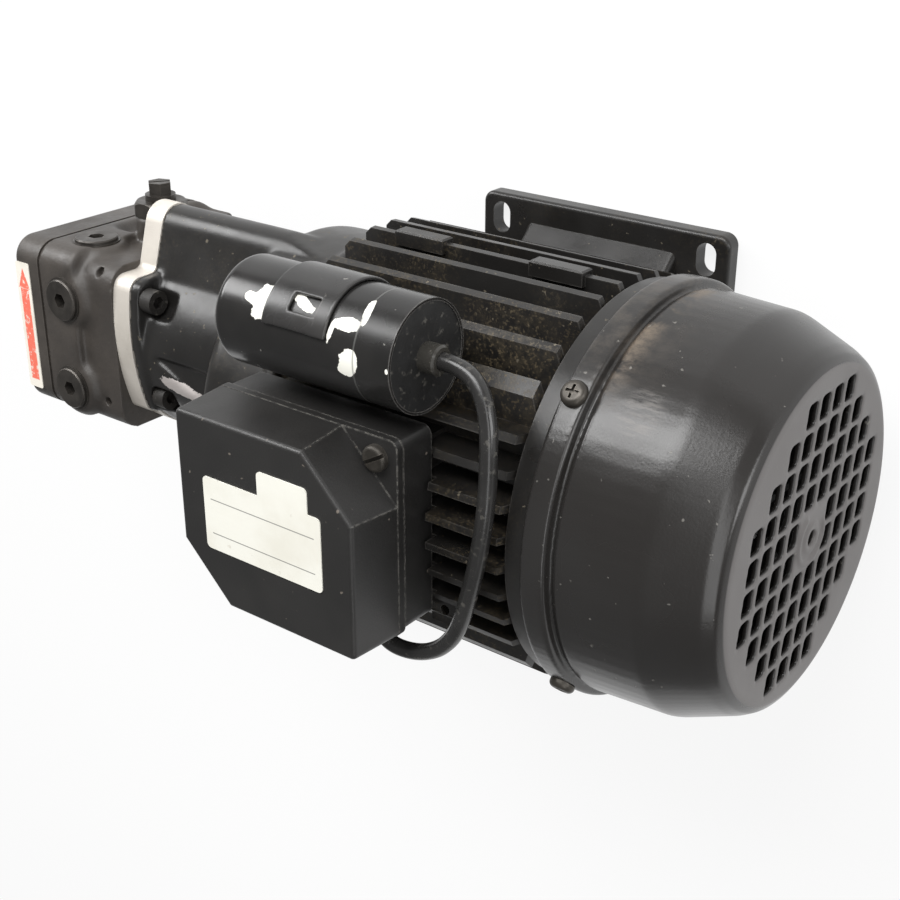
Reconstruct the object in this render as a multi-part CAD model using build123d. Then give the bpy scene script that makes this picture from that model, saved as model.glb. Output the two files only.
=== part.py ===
from build123d import *
import math
import os

# Oil burner pump: a small foot-mounted motor that drives a gear pump through a coupling.
# Millimetres. +X runs along the motor axis towards the fan, +Z is up, and the origin is
# the centre of the four foot slots on the underside of the foot plate.

# Fits between pieces
fit_gap = 0.05
run_gap = 0.3
bolt_gap = 0.15

# Foot plate and pedestal
foot_length = 96.0
foot_width = 117.0
foot_thickness = 6.0
foot_corner = 4.0
foot_edge = 1.5
slot_spacing_x = 80.0
slot_spacing_y = 100.0
slot_width = 7.0
slot_length = 11.0
plate_to_axis = 63.0
pedestal_length = 58.0
pedestal_width = 100.0
pedestal_height = 14.0
foot_screw_spacing_x = 40.0
foot_screw_spacing_y = 46.0
foot_screw_radius = 2.5
foot_screw_head_radius = 4.25
foot_screw_head = 5.0
foot_screw_length = 22.0
axis_z = foot_thickness + plate_to_axis
seat_z = foot_thickness + pedestal_height

# Motor housing
housing_left = -43.0
housing_right = 51.0
housing_bore = 42.05
housing_core = 50.0
fin_tip = 62.3
fin_thickness = 2.2
rib_thickness = 3.6
side_fin_pitch = 10.0
side_fin_pairs = 5
top_fin_pitch = 9.0
top_fin_pairs = 4
fin_end_round = 4.0
fin_pad_height = 1.6
fin_pad_width = 5.4
fin_pad_length = 18.4
fin_pad_starts = (-29.9, 19.9)
bolt_circle = 46.0
tie_bolt_radius = 2.0
tie_bolt_head_radius = 3.5
tie_bolt_head = 3.0
box_seat_z = 126.0
box_seat_left = -40.0
box_seat_right = 20.0
box_seat_width = 50.0
wire_way_radius = 7.0
wire_way_x = -10.0
lug_size = 9.6
lug_hole = 1.6
lug_x = 25.4
lug_y = -29.0
lug_z = 123.0

# Motor inner pieces
stator_left = -22.0
stator_right = 30.0
stator_bore = 22.0
winding_overhang = 11.0
winding_inner = 25.0
winding_outer = 38.0
stator_slots = 12
air_gap = 0.4
end_ring_length = 7.0
end_ring_bore = 13.0
shaft_radius = 8.0
journal_radius = 7.5
shaft_end_radius = 5.0

# Ball bearings, 15 by 35 by 11
bearing_bore = 7.5
bearing_outer = 17.5
bearing_width = 11.0
ball_radius = 3.0
ball_circle = 12.5
ball_count = 7
ball_gap = 0.05
inner_ring_outer = 10.4
outer_ring_inner = 14.6
front_bearing_left = -62.0
rear_bearing_left = 49.5

# Drive end housing: end shield with the coupling bell
shield_flange_radius = 56.5
shield_flange_length = 4.0
shield_radius = 54.7
shield_end = -74.0
shield_wall = 5.7
shield_wall_end = 6.0
shield_corner = 4.0
spigot_length = 4.0
spigot_wall = 3.0
boss_radius = 5.0
boss_length = 17.0
hub_wall = 4.5
bell_end = -124.0
bell_barrel_radius = 34.4
bell_barrel_centre = 8.0
bell_flange = 4.0
bell_cavity = 16.5
seal_hole = 9.0
lobe_slope_start = -76.0
lobe_slope_end = -52.0
lobe_slope_drop = 5.0
recess_left = -118.0
recess_right = -87.0
recess_top = 9.5
recess_low = -6.0
recess_floor = 32.2

# Outline of the adapter plate, seen along the motor axis
outline_low = -14.0
outline_shoulder = 35.0
outline_half_width = 36.2
outline_side_radius = 88.0
outline_side_middle = 16.0
outline_corner = 5.2
outline_low_corner = 3.0
outline_inner_corner = 3.0
outline_ring_radius = 35.0
lobe_y = 48.8
lobe_offset = 10.8
lobe_radius = 7.6
lobe_root_y = 31.0
lobe_root_radius = 12.7
adapter_thickness = 8.0
adapter_overhang = 0.3

# Screws that join bell, adapter and pump
ear_screws = ((28.0, 30.6), (-7.5, 28.5), (28.0, -30.6), (-7.5, -28.5))
ear_screw_radius = 2.5
ear_head_radius = 4.2
ear_head = 5.0
ear_pocket_radius = 5.6
ear_pocket_length = 10.0
ear_screw_depth = 8.0

# Pump body and cover
pump_middle_y = 10.5
pump_height = 62.0
pump_width = 80.0
pump_corner = 8.0
pump_waist = 3.4
pump_waist_drop = 2.0
pump_body_length = 33.5
pump_band = 17.0
gasket_thickness = 0.8
cover_hollow_inset = 9.0
gasket_inset = 0.8
pump_cover_length = 12.8
cover_edge = 2.0
cover_wall = 3.6
pump_spigot_radius = 16.0
pump_spigot_length = 6.0
plug_boss_radius = 9.4
plug_boss_spread = 3.0
plug_boss_height = 4.0
plug_radius = 7.5
plug_washer_radius = 8.2
plug_washer = 0.5
plug_head = 1.3
plug_thread_radius = 6.4
plug_thread_length = 9.0
top_plug_thread_length = 5.6
plug_hex = 5.0
plug_hex_depth = 5.0
plug_x = -153.6
side_plug_y = (23.6, -9.4)
top_plug_offset = 23.0
top_boss_height = 40.8
drilling_radius = 1.5
drilling_x = -139.4
drilling_y = (35.0, -12.5)
drilling_depth = 5.0
port_radius = 5.72
port_depth = 12.0

# Cover bolts, placed clear of the port plugs
cover_bolt_high = 34.0
cover_bolt_low = -15.5
cover_bolt_high_inset = 6.8
cover_bolt_low_inset = 17.0
cover_bolts = [
    (cover_bolt_high, pump_width / 2 - cover_bolt_high_inset),
    (cover_bolt_high, cover_bolt_high_inset - pump_width / 2),
    (cover_bolt_low, pump_width / 2 - cover_bolt_low_inset),
    (cover_bolt_low, cover_bolt_low_inset - pump_width / 2),
]
strip_inset = 0.7
strip_width = 7.2
strip_end_inset = 7.25
strip_middle_y = 9.3
strip_thickness = 0.3
strip_corner = 0.8
cover_bolt_radius = 2.5
cover_bolt_head_radius = 3.8
cover_bolt_head = 5.0
cover_bolt_recess = 5.3
cover_bolt_depth = 8.0
cover_bolt_post = 5.0
strainer_width = 33.0
strainer_wall = 1.0
strainer_slots = (-12.0, -4.0, 4.0, 12.0)
strainer_slot_width = 4.0

# Gears: two equal external spur gears
gear_module = 1.5
gear_teeth = 12
pressure_angle = 20.0
gear_backlash = 0.16
gear_width = 9.0
gear_tip_gap = 0.08
gear_face_gap = 0.04
gear_plate_thickness = 5.8
gear_plate_margin = 5.0
plate_screw_radius = 2.0
plate_screw_head_radius = 3.0
plate_screw_inset = 5.8
plate_screw_head = 2.6
plate_screw_length = 10.0
pump_shaft_radius = 5.0
idler_pin_radius = 3.5
key_width = 2.0
key_height = 1.4
seal_radius = 11.0
seal_length = 5.0
seal_lip_gap = 0.03

# Pressure regulator
regulator_x = -144.6
regulator_bore = 5.0
regulator_boss_radius = 9.4
regulator_boss_top = 47.0
regulator_bore_low = 24.0
regulator_thread_radius = 6.0
regulator_thread_length = 6.0
regulator_hex = 17.0
regulator_hex_height = 5.2
regulator_chamfer = 1.0
regulator_washer_radius = 5.4
regulator_washer = 2.3
regulator_screw_hex = 7.5
regulator_screw_head = 4.3
regulator_screw_radius = 2.5
regulator_slot = 1.4
piston_length = 7.0
spring_wire = 0.45
spring_radius = 3.6
spring_turns = 5

# Coupling
coupling_radius = 14.5
coupling_hub_length = 9.0
coupling_jaw_length = 7.0
coupling_jaws = 3
coupling_gap = 0.15
spider_middle = -97.0
set_screw_radius = 1.5

# Rear end shield, fan and fan cover
rear_shield_thickness = 5.5
rear_rim_radius = 61.0
rear_rim_length = 11.2
rear_rim_wall = 5.0
collar_left = 57.1
collar_radius = 63.2
collar_width = 7.6
groove_width = 1.6
groove_depth = 2.2
cover_radius_left = 61.0
cover_radius_kink = 59.6
cover_kink = 93.0
cover_arc_middle = (102.6, 56.8)
cover_corner_start = (109.4, 51.6)
cover_end = 110.9
cover_face_radius = 48.6
cover_shell = 2.0
cover_screw_x = 60.7
cover_screw_radius = 2.0
cover_screw_head_radius = 3.8
cover_screw_head = 2.3
cover_screw_length = 6.5
fan_left = 70.0
fan_width = 22.0
fan_radius = 50.0
fan_hub_radius = 12.0
fan_blades = 8
fan_blade_thickness = 2.0
fan_disc = 2.0
ring_radius = 8.6
ring_width = 1.0
ring_groove = 0.8
shaft_right = 94.0

# Fan grille: slanted cells in rows, with a bare hub and a broken ring round it
grille_pitch = 7.95
grille_row_pitch = 8.7
grille_row_shift = 0.95
grille_cell_width = 5.4
grille_cell_height = 6.6
grille_cell_slant = 0.8
grille_rows = 10
grille_row_min = 4
grille_row_max = 10
grille_hub_clear = 8.0
hub_hole_radius = 2.3
hub_boss_radius = 4.6
hub_ring_radius = 8.3
hub_ring_height = 0.8
hub_ring_width = 1.2

# Terminal box
box_left = -43.9
box_right = 23.7
box_width = 61.0
box_base_height = 12.2
box_gasket = 0.8
box_wall = 2.2
box_floor = 2.6
box_corner = 3.0
cover_height = 20.5
cover_taper = 3.4
cover_pocket = 17.0
cover_flange = 2.6
cover_round = 1.4
box_screw_inset_x = 7.0
box_screw_inset_y = 6.2
box_screw_radius = 2.0
box_screw_head_radius = 3.9
box_screw_head = 2.4
box_post_radius = 4.4
label_length = 44.4
label_height = 22.8
label_left = -32.6
label_low = -11.5
label_thickness = 0.3
label_corner = 1.5
sticker_left = -11.2
sticker_length = 18.5
sticker_height = 7.6
block_length = 34.0
block_width = 14.0
block_height = 9.0
block_x = -6.0
block_y = 12.0
block_poles = 4
block_pitch = 8.0
pole_screw_radius = 2.6
entry_x = -24.0
entry_z = 132.2
entry_radius = 4.2
entry_lip = 1.2

# Capacitor on its clip
can_left = -41.0
can_right = 24.0
can_radius = 16.0
can_y = 51.0
can_z = 129.0
can_round = 3.5
can_recess = 1.6
can_rim = 0.9
outlet_radius = 4.3
outlet_length = 5.4
clip_left = -24.4
clip_right = 2.1
clip_thickness = 1.2
clip_end_angle = 75.0
clip_window_length = 9.6
clip_window_height = 5.2
clip_window_angle = 52.0
clip_foot_end = 33.6
clip_foot_width = 14.0
clip_screw_y = 38.6
clip_screw_radius = 2.0
clip_screw_head_radius = 3.4
clip_screw_head = 2.2
clip_screw_length = 9.0
clip_boss_width = 11.0

# Capacitor lead, its route from the capacitor to the terminal box
lead_radius = 2.5
lead_gland_radius = 4.2
lead_gland_length = 3.6
lead_route = [
    (28.2, 51.0, 129.0),
    (35.8, 51.0, 129.0),
    (42.4, 47.4, 130.3),
    (46.4, 40.4, 132.0),
    (48.2, 31.0, 134.0),
    (48.6, 20.5, 135.0),
    (47.6, 9.5, 135.3),
    (45.6, -1.5, 135.2),
    (42.8, -12.0, 134.8),
    (39.6, -21.5, 133.4),
    (35.0, -30.6, 131.8),
    (28.2, -38.0, 130.4),
    (19.6, -42.4, 129.8),
    (11.8, -41.6, 131.6),
    (8.0, -36.8, 132.2),
    (8.0, -31.3, 132.2),
]

parts = {}


def save(name, *solids):
    parts[name] = solids[0] if len(solids) == 1 else Compound(children=list(solids))


# Basic shapes, placed by the motor axis where they turn about it
def rod(left, right, radius, y=0.0, z=axis_z):
    length = right - left
    shape = Cylinder(radius, length, align=(Align.CENTER, Align.CENTER, Align.MIN))
    return Pos(left, y, z) * Rot(0, 90, 0) * shape


def tube(left, right, outer, inner, y=0.0, z=axis_z):
    return rod(left, right, outer, y, z) - rod(left - 1, right + 1, inner, y, z)


def post(x, y, low, high, radius):
    shape = Cylinder(radius, high - low, align=(Align.CENTER, Align.CENTER, Align.MIN))
    return Pos(x, y, low) * shape


def cross_rod(x, z, low, high, radius):
    shape = Cylinder(radius, high - low, align=(Align.CENTER, Align.CENTER, Align.MIN))
    return Pos(x, low, z) * Rot(-90, 0, 0) * shape


def block(x0, x1, y0, y1, z0, z1):
    return Pos((x0 + x1) / 2, (y0 + y1) / 2, (z0 + z1) / 2) * Box(x1 - x0, y1 - y0, z1 - z0)


def turned(points):
    profile = make_face(Plane.XZ * Polyline(*points, close=True))
    return Pos(0, 0, axis_z) * revolve(profile, Axis.X)


def along_x(sketch, left, right):
    # The sketch's x is +Y and its y is +Z, both measured from the motor axis
    face = Plane(origin=(left, 0, axis_z), x_dir=(0, 1, 0), z_dir=(1, 0, 0)) * sketch
    return extrude(face, right - left, dir=(1, 0, 0))


def around(shape, angle):
    return Pos(0, 0, axis_z) * Rot(angle, 0, 0) * Pos(0, 0, -axis_z) * shape


def hex_prism(across_flats, height, rotation=0.0):
    sketch = RegularPolygon(across_flats / 2, 6, major_radius=False, rotation=rotation)
    return extrude(sketch, height)


def tie_bolt_places():
    offset = bolt_circle / math.sqrt(2)
    return [(y, axis_z + z) for y in (-offset, offset) for z in (-offset, offset)]


# Foot plate with its sloping pedestal
def make_foot():
    half_length, half_width = foot_length / 2, foot_width / 2
    plate = block(-half_length, half_length, -half_width, half_width, 0, foot_thickness)
    plate = fillet(plate.edges().filter_by(Axis.Z), foot_corner)
    top = plate.faces().sort_by(Axis.Z)[-1]
    plate = fillet(top.edges(), foot_edge)
    wide = pedestal_width / 2
    narrow = wide - pedestal_height
    profile = Polyline(
        (-wide, foot_thickness - axis_z - 1),
        (wide, foot_thickness - axis_z - 1),
        (wide, foot_thickness - axis_z),
        (narrow, seat_z - axis_z),
        (-narrow, seat_z - axis_z),
        (-wide, foot_thickness - axis_z),
        close=True,
    )
    pedestal = along_x(make_face(profile), -pedestal_length / 2, pedestal_length / 2)
    ends = pedestal.edges().filter_by(lambda e: abs(e.tangent_at(0.5).X) < 0.1)
    slopes = [e for e in ends if abs(e.tangent_at(0.5).Z) > 0.5 and abs(e.tangent_at(0.5).Y) > 0.5]
    pedestal = fillet(slopes, 2.0)
    foot = plate + pedestal
    slot = SlotOverall(slot_length, slot_width, rotation=90)
    cutter = extrude(slot, foot_thickness + 2)
    for x in (-slot_spacing_x / 2, slot_spacing_x / 2):
        for y in (-slot_spacing_y / 2, slot_spacing_y / 2):
            foot -= Pos(x, y, -1) * cutter
    for x, y in foot_screw_places():
        foot -= post(x, y, -1, seat_z + 1, foot_screw_radius + bolt_gap)
        foot -= post(x, y, -1, foot_screw_head + 1, foot_screw_head_radius + bolt_gap)
    save("foot_plate", foot)
    screws = [make_foot_screw(x, y) for x, y in foot_screw_places()]
    save("foot_screws", *screws)


def foot_screw_places():
    xs = (-foot_screw_spacing_x / 2, foot_screw_spacing_x / 2)
    ys = (-foot_screw_spacing_y / 2, foot_screw_spacing_y / 2)
    return [(x, y) for x in xs for y in ys]


def make_foot_screw(x, y):
    seat = foot_screw_head + 1
    head = post(x, y, seat - foot_screw_head, seat, foot_screw_head_radius)
    shank = post(x, y, seat, seat + foot_screw_length, foot_screw_radius)
    socket = Pos(x, y, seat - foot_screw_head) * hex_prism(4.0, 2.5)
    return head + shank - socket


# Finned motor housing
def fin_sketch():
    sketch = Circle(housing_core)
    for pair in range(side_fin_pairs):
        level = side_fin_pitch * (pair + 0.5)
        thickness = rib_thickness if pair == side_fin_pairs - 1 else fin_thickness
        for side in (-1, 1):
            sketch += Pos(0, side * level) * Rectangle(2 * fin_tip, thickness)
    for pair in range(top_fin_pairs):
        offset = top_fin_pitch * (pair + 0.5)
        for side in (-1, 1):
            sketch += Pos(side * offset, 0) * Rectangle(fin_thickness, 2 * fin_tip)
    return sketch & Circle(fin_tip)


def make_housing():
    body = along_x(fin_sketch(), housing_left, housing_right)
    envelope = turned([
        (housing_left, 0),
        (housing_left, fin_tip - fin_end_round / 2),
        (housing_left + fin_end_round / 2, fin_tip),
        (housing_right - fin_end_round / 2, fin_tip),
        (housing_right, fin_tip - fin_end_round),
        (housing_right, 0),
    ])
    body &= envelope
    # Cut the fins away where the pedestal and the terminal box sit
    half = pedestal_length / 2 + run_gap
    body -= block(-half, half, -fin_tip, fin_tip, axis_z - fin_tip - 1, seat_z + 12)
    narrow = pedestal_width / 2 - pedestal_height
    saddle = Polyline(
        (-narrow, seat_z - axis_z),
        (narrow, seat_z - axis_z),
        (narrow - 14, seat_z - axis_z + 14),
        (-narrow + 14, seat_z - axis_z + 14),
        close=True,
    )
    body += along_x(make_face(saddle), -pedestal_length / 2, pedestal_length / 2)
    body += along_x(Circle(housing_core), -half - 1, half + 1)
    body -= block(-half, half, -fin_tip, fin_tip, axis_z - fin_tip - 1, seat_z)
    for level in (seat_z + 4, seat_z + 14):
        body += side_fins_over_foot(level, half)
    body -= block(box_left - 1, box_right + 1, -box_width / 2, box_width / 2, box_seat_z, axis_z + fin_tip + 1)
    body += block(box_seat_left, box_seat_right, -box_seat_width / 2, box_seat_width / 2,
                  axis_z + housing_core - 15, box_seat_z)
    body += make_fin_pads()
    body += block(lug_x - lug_size / 2, lug_x + lug_size / 2, lug_y - lug_size / 2, lug_y + lug_size / 2,
                  axis_z + 40, lug_z)
    # Room for the capacitor, its clip, and the boss that holds the clip
    clearance = can_radius + clip_thickness + run_gap
    body -= rod(can_left - 2, can_right + 2, clearance, can_y, can_z)
    strip_top = can_z - can_radius
    body -= block(clip_left - 1, clip_right + 1, clip_foot_end - run_gap, can_y,
                  strip_top - clip_thickness - 0.1, strip_top + 4)
    middle = (clip_left + clip_right) / 2
    body += block(middle - clip_foot_width / 2, middle + clip_foot_width / 2,
                  clip_screw_y - clip_boss_width / 2, clip_screw_y + clip_boss_width / 2,
                  axis_z + 24, strip_top - clip_thickness - 0.1)
    body -= rod(housing_left - 1, housing_right + 1, housing_bore)
    for y, z in tie_bolt_places():
        body -= rod(housing_left - 1, housing_right + 1, tie_bolt_radius + bolt_gap, y, z)
    body -= post(middle, clip_screw_y, strip_top - clip_screw_length - 3, strip_top,
                 clip_screw_radius + fit_gap)
    for x, y in foot_screw_places():
        body -= post(x, y, seat_z - 1, foot_screw_head + 1 + foot_screw_length + 1,
                     foot_screw_radius + fit_gap)
    body -= post(wire_way_x, 0, axis_z, box_seat_z + 1, wire_way_radius)
    body -= post(lug_x, lug_y, lug_z - 8, lug_z + 1, lug_hole)
    for x in box_fixing_places():
        body -= post(x, 0, box_seat_z - 9, box_seat_z + 1, box_screw_radius + fit_gap)
    save("motor_housing", body)


def side_fins_over_foot(level, half):
    strip = Pos(0, level - axis_z) * Rectangle(2 * fin_tip, fin_thickness)
    ring = (strip & Circle(fin_tip - 0.5)) - Circle(housing_core - 1)
    return along_x(ring, -half - 1, half + 1)


def make_fin_pads():
    height = math.sqrt(fin_tip ** 2 - (side_fin_pitch / 2) ** 2)
    pads = []
    for start in fin_pad_starts:
        low = height - 3
        pad = block(start, start + fin_pad_length, low, height + fin_pad_height,
                    axis_z + side_fin_pitch / 2 - fin_pad_width / 2,
                    axis_z + side_fin_pitch / 2 + fin_pad_width / 2)
        pads.append(chamfer(pad.faces().sort_by(Axis.Y)[-1].edges(), 0.5))
    return pads


def box_fixing_places():
    return (box_seat_left + 10, box_seat_right - 6)


# Stator: laminated core with slots, and the two winding heads
def make_stator():
    core = tube(stator_left, stator_right, housing_bore - fit_gap, stator_bore)
    slot_middle = (winding_inner + winding_outer) / 2
    slot = rod(stator_left - 1, stator_right + 1, 3.2, slot_middle, axis_z)
    for number in range(stator_slots):
        core -= around(slot, number * 360 / stator_slots)
    save("stator_core", core)
    left = tube(stator_left - winding_overhang, stator_left, winding_outer, winding_inner)
    right = tube(stator_right, stator_right + winding_overhang, winding_outer, winding_inner)
    heads = [fillet(head.edges().filter_by(GeomType.CIRCLE), 3.0) for head in (left, right)]
    legs = rod(stator_left, stator_right, 3.1, slot_middle, axis_z)
    coil = heads[0] + heads[1]
    for number in range(stator_slots):
        coil += around(legs, number * 360 / stator_slots)
    save("stator_windings", coil)


# Rotor on the motor shaft
def make_rotor():
    radius = stator_bore - air_gap
    core = tube(stator_left, stator_right, radius, shaft_radius + 0.02)
    save("rotor_core", core)
    left = tube(stator_left - end_ring_length, stator_left, radius - 1, end_ring_bore)
    right = tube(stator_right, stator_right + end_ring_length, radius - 1, end_ring_bore)
    save("rotor_end_rings", left, right)
    shaft_left = spider_middle + coupling_jaw_length / 2 + 0.5
    front_shoulder = front_bearing_left + bearing_width
    shaft = turned([
        (shaft_left, 0),
        (shaft_left, shaft_end_radius),
        (front_bearing_left - 4, shaft_end_radius),
        (front_bearing_left - 4, journal_radius),
        (front_shoulder, journal_radius),
        (front_shoulder, shaft_radius + 1),
        (stator_left - 1, shaft_radius + 1),
        (stator_left - 1, shaft_radius),
        (rear_bearing_left - 3, shaft_radius),
        (rear_bearing_left - 3, shaft_radius + 1),
        (rear_bearing_left, shaft_radius + 1),
        (rear_bearing_left, journal_radius),
        (shaft_right - ring_groove - 2 - ring_width, journal_radius),
        (shaft_right - ring_groove - 2 - ring_width, journal_radius - ring_groove),
        (shaft_right - ring_groove - 2, journal_radius - ring_groove),
        (shaft_right - ring_groove - 2, journal_radius),
        (shaft_right - 1, journal_radius),
        (shaft_right, journal_radius - 1),
        (shaft_right, 0),
    ])
    save("motor_shaft", shaft)


# Ball bearings at both ends of the shaft
def make_bearings():
    outers, inners, balls = [], [], []
    for left in (front_bearing_left, rear_bearing_left):
        middle = left + bearing_width / 2
        track = Pos(middle, 0, axis_z) * Rot(0, 90, 0) * Torus(ball_circle, ball_radius + ball_gap)
        outer = tube(left, left + bearing_width, bearing_outer, outer_ring_inner) - track
        inner = tube(left, left + bearing_width, inner_ring_outer, bearing_bore + 0.02) - track
        outers.append(outer)
        inners.append(inner)
        for number in range(ball_count):
            ball = Pos(middle, ball_circle, axis_z) * Sphere(ball_radius)
            balls.append(around(ball, number * 360 / ball_count))
    save("bearing_outer_rings", *outers)
    save("bearing_inner_rings", *inners)
    save("bearing_balls", *balls)


# Lobe on the near side of the bell, the flange and the adapter plate
def lobe_outline(grow=0.0):
    crown = Pos(lobe_y, lobe_offset) * Circle(lobe_radius + grow)
    root = Pos(lobe_root_y, lobe_offset) * Circle(lobe_root_radius + grow)
    return make_hull(crown.edges() + root.edges())


# Outline shared by the bell flange and the adapter plate
def ear_outline(grow=0.0):
    reach = outline_side_radius - outline_half_width
    low, shoulder = outline_low - grow, outline_shoulder + grow
    ears = Pos(outline_side_middle, -reach) * Circle(outline_side_radius + grow)
    ears &= Pos(outline_side_middle, reach) * Circle(outline_side_radius + grow)
    ears &= Pos((low + shoulder) / 2, 0) * Rectangle(shoulder - low, 2 * fin_tip)
    ears = fillet(ears.vertices().group_by(Axis.X)[-1], outline_corner)
    ears = fillet(ears.vertices().group_by(Axis.X)[0], outline_low_corner)
    ring = Pos(bell_barrel_centre, 0) * Circle(outline_ring_radius + grow)
    sketch = ears + ring + lobe_outline(grow)
    on_shoulder = [v for v in sketch.vertices() if abs(v.X - shoulder) < 0.01]
    inner = [v for v in on_shoulder if abs(v.Y - lobe_offset) < lobe_root_radius + 2]
    return fillet(inner, outline_inner_corner)


# Drive end housing: motor end shield and coupling bell in one casting
def make_drive_end():
    wall_inner = shield_radius - shield_wall
    shell = turned([
        (housing_left, 0),
        (housing_left, shield_flange_radius),
        (housing_left - shield_flange_length, shield_flange_radius),
        (housing_left - shield_flange_length - 1, shield_radius),
        (shield_end + shield_corner, shield_radius),
        (shield_end + shield_corner * 0.3, shield_radius - shield_corner * 0.3),
        (shield_end, shield_radius - shield_corner),
        (shield_end, 0),
    ])
    barrel = along_x(Pos(bell_barrel_centre, 0) * Circle(bell_barrel_radius), bell_end, shield_end + 1)
    lobe = along_x(lobe_outline(), bell_end, lobe_slope_end)
    crest = lobe_y + lobe_radius + 1
    falling = Polyline(
        (bell_end - 1, -1),
        (bell_end - 1, crest),
        (lobe_slope_start, crest),
        (lobe_slope_end, crest - lobe_slope_drop),
        (lobe_slope_end, -1),
        close=True,
    )
    lobe &= extrude(make_face(falling), 2 * axis_z)
    flange = along_x(ear_outline(), bell_end, bell_end + bell_flange)
    flare = turned([
        (shield_end + 1, 0),
        (shield_end + 1, bell_barrel_radius + 9),
        (shield_end, bell_barrel_radius + 8),
        (shield_end - 5, bell_barrel_radius - 1),
        (shield_end - 5, 0),
    ])
    bell = barrel + flange + flare + lobe + shell
    recess = make_face(Polyline(
        (recess_left, recess_top),
        (recess_right, recess_top),
        (recess_right, recess_low),
        close=True,
    ))
    bell -= Pos(0, 0, axis_z + recess_floor) * extrude(recess, bell_barrel_radius)
    # Hollow of the end shield, with the bearing hub and the tie bolt bosses left standing
    hollow = tube(shield_end + shield_wall_end, housing_left + 1, wall_inner, 0.001)
    hub = rod(shield_end, front_bearing_left + bearing_width + 1, bearing_outer + hub_wall)
    hollow -= hub
    for y, z in tie_bolt_places():
        hollow -= rod(housing_left - boss_length, housing_left + 1, boss_radius, y, z)
    bell -= hollow
    bell += tube(housing_left - 1, housing_left + spigot_length, housing_bore - fit_gap,
                 housing_bore - spigot_wall)
    bell -= rod(bell_end - 1, shield_end, bell_cavity)
    bell -= rod(shield_end - 1, housing_left, seal_hole)
    bell -= rod(front_bearing_left, housing_left, bearing_outer + 0.02)
    for y, z in tie_bolt_places():
        bell -= rod(housing_left - boss_length + 2, housing_left + spigot_length + 1,
                    tie_bolt_radius + fit_gap, y, z)
    for y, w in ear_screws:
        bell -= rod(bell_end + bell_flange, bell_end + bell_flange + ear_pocket_length, ear_pocket_radius,
                    y, axis_z + w)
        bell -= rod(bell_end - 1, bell_end + bell_flange + 1, ear_screw_radius + bolt_gap, y, axis_z + w)
    save("drive_end_housing", bell)


# Adapter plate between the bell and the pump
def make_adapter():
    left = bell_end - adapter_thickness
    plate = along_x(ear_outline(adapter_overhang), left, bell_end)
    plate -= rod(left - 1, bell_end + 1, pump_spigot_radius + fit_gap)
    for y, w in ear_screws:
        plate -= rod(left - 1, bell_end + 1, ear_screw_radius + bolt_gap, y, axis_z + w)
    save("adapter_plate", plate)
    screws = []
    for y, w in ear_screws:
        seat = bell_end + bell_flange
        head = rod(seat, seat + ear_head, ear_head_radius, y, axis_z + w)
        shank = rod(left - ear_screw_depth, seat, ear_screw_radius, y, axis_z + w)
        socket = Pos(seat + ear_head - 2.6, y, axis_z + w) * Rot(0, 90, 0) * hex_prism(4.0, 3.0)
        screws.append(head + shank - socket)
    save("adapter_screws", *screws)


# Pump
pump_right = bell_end - adapter_thickness
pump_left = pump_right - pump_body_length
cover_right = pump_left - gasket_thickness
cover_left = cover_right - pump_cover_length
gear_centres = gear_module * gear_teeth
chamber_depth = gear_plate_thickness + gear_width + 2 * gear_face_gap
chamber_right = pump_left + chamber_depth


def pump_outline(shrink=0.0):
    corner = max(pump_corner - shrink, 1.0)
    return Pos(pump_middle_y, 0) * RectangleRounded(pump_height - 2 * shrink, pump_width - 2 * shrink, corner)


def waist_outline():
    top = pump_middle_y + pump_height / 2 - pump_waist
    low = pump_middle_y - pump_height / 2 - pump_waist_drop
    return Pos((top + low) / 2, 0) * RectangleRounded(top - low, pump_width - 2 * pump_waist, pump_corner)


# Boss under a plug, widening towards its foot
def plug_boss(foot, top):
    height = top - foot
    return Cone(plug_boss_radius + plug_boss_spread, plug_boss_radius, height,
                align=(Align.CENTER, Align.CENTER, Align.MIN))


def chamber_sketch(radius):
    both = Circle(radius) + Pos(gear_centres, 0) * Circle(radius)
    return both + Pos(gear_centres / 2, 0) * Rectangle(gear_centres, radius)


def plate_outline():
    length = gear_centres + 2 * (gear_tip_radius() + gear_plate_margin)
    width = 2 * (gear_tip_radius() + gear_plate_margin)
    return Pos(gear_centres / 2, 0) * RectangleRounded(length, width, 5.0)


def plate_screw_places():
    reach = gear_tip_radius() + gear_plate_margin - plate_screw_inset
    return [(y, w) for y in (-reach, gear_centres + reach) for w in (-reach, reach)]


def gear_tip_radius():
    return gear_module * (gear_teeth / 2 + 1)


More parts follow.
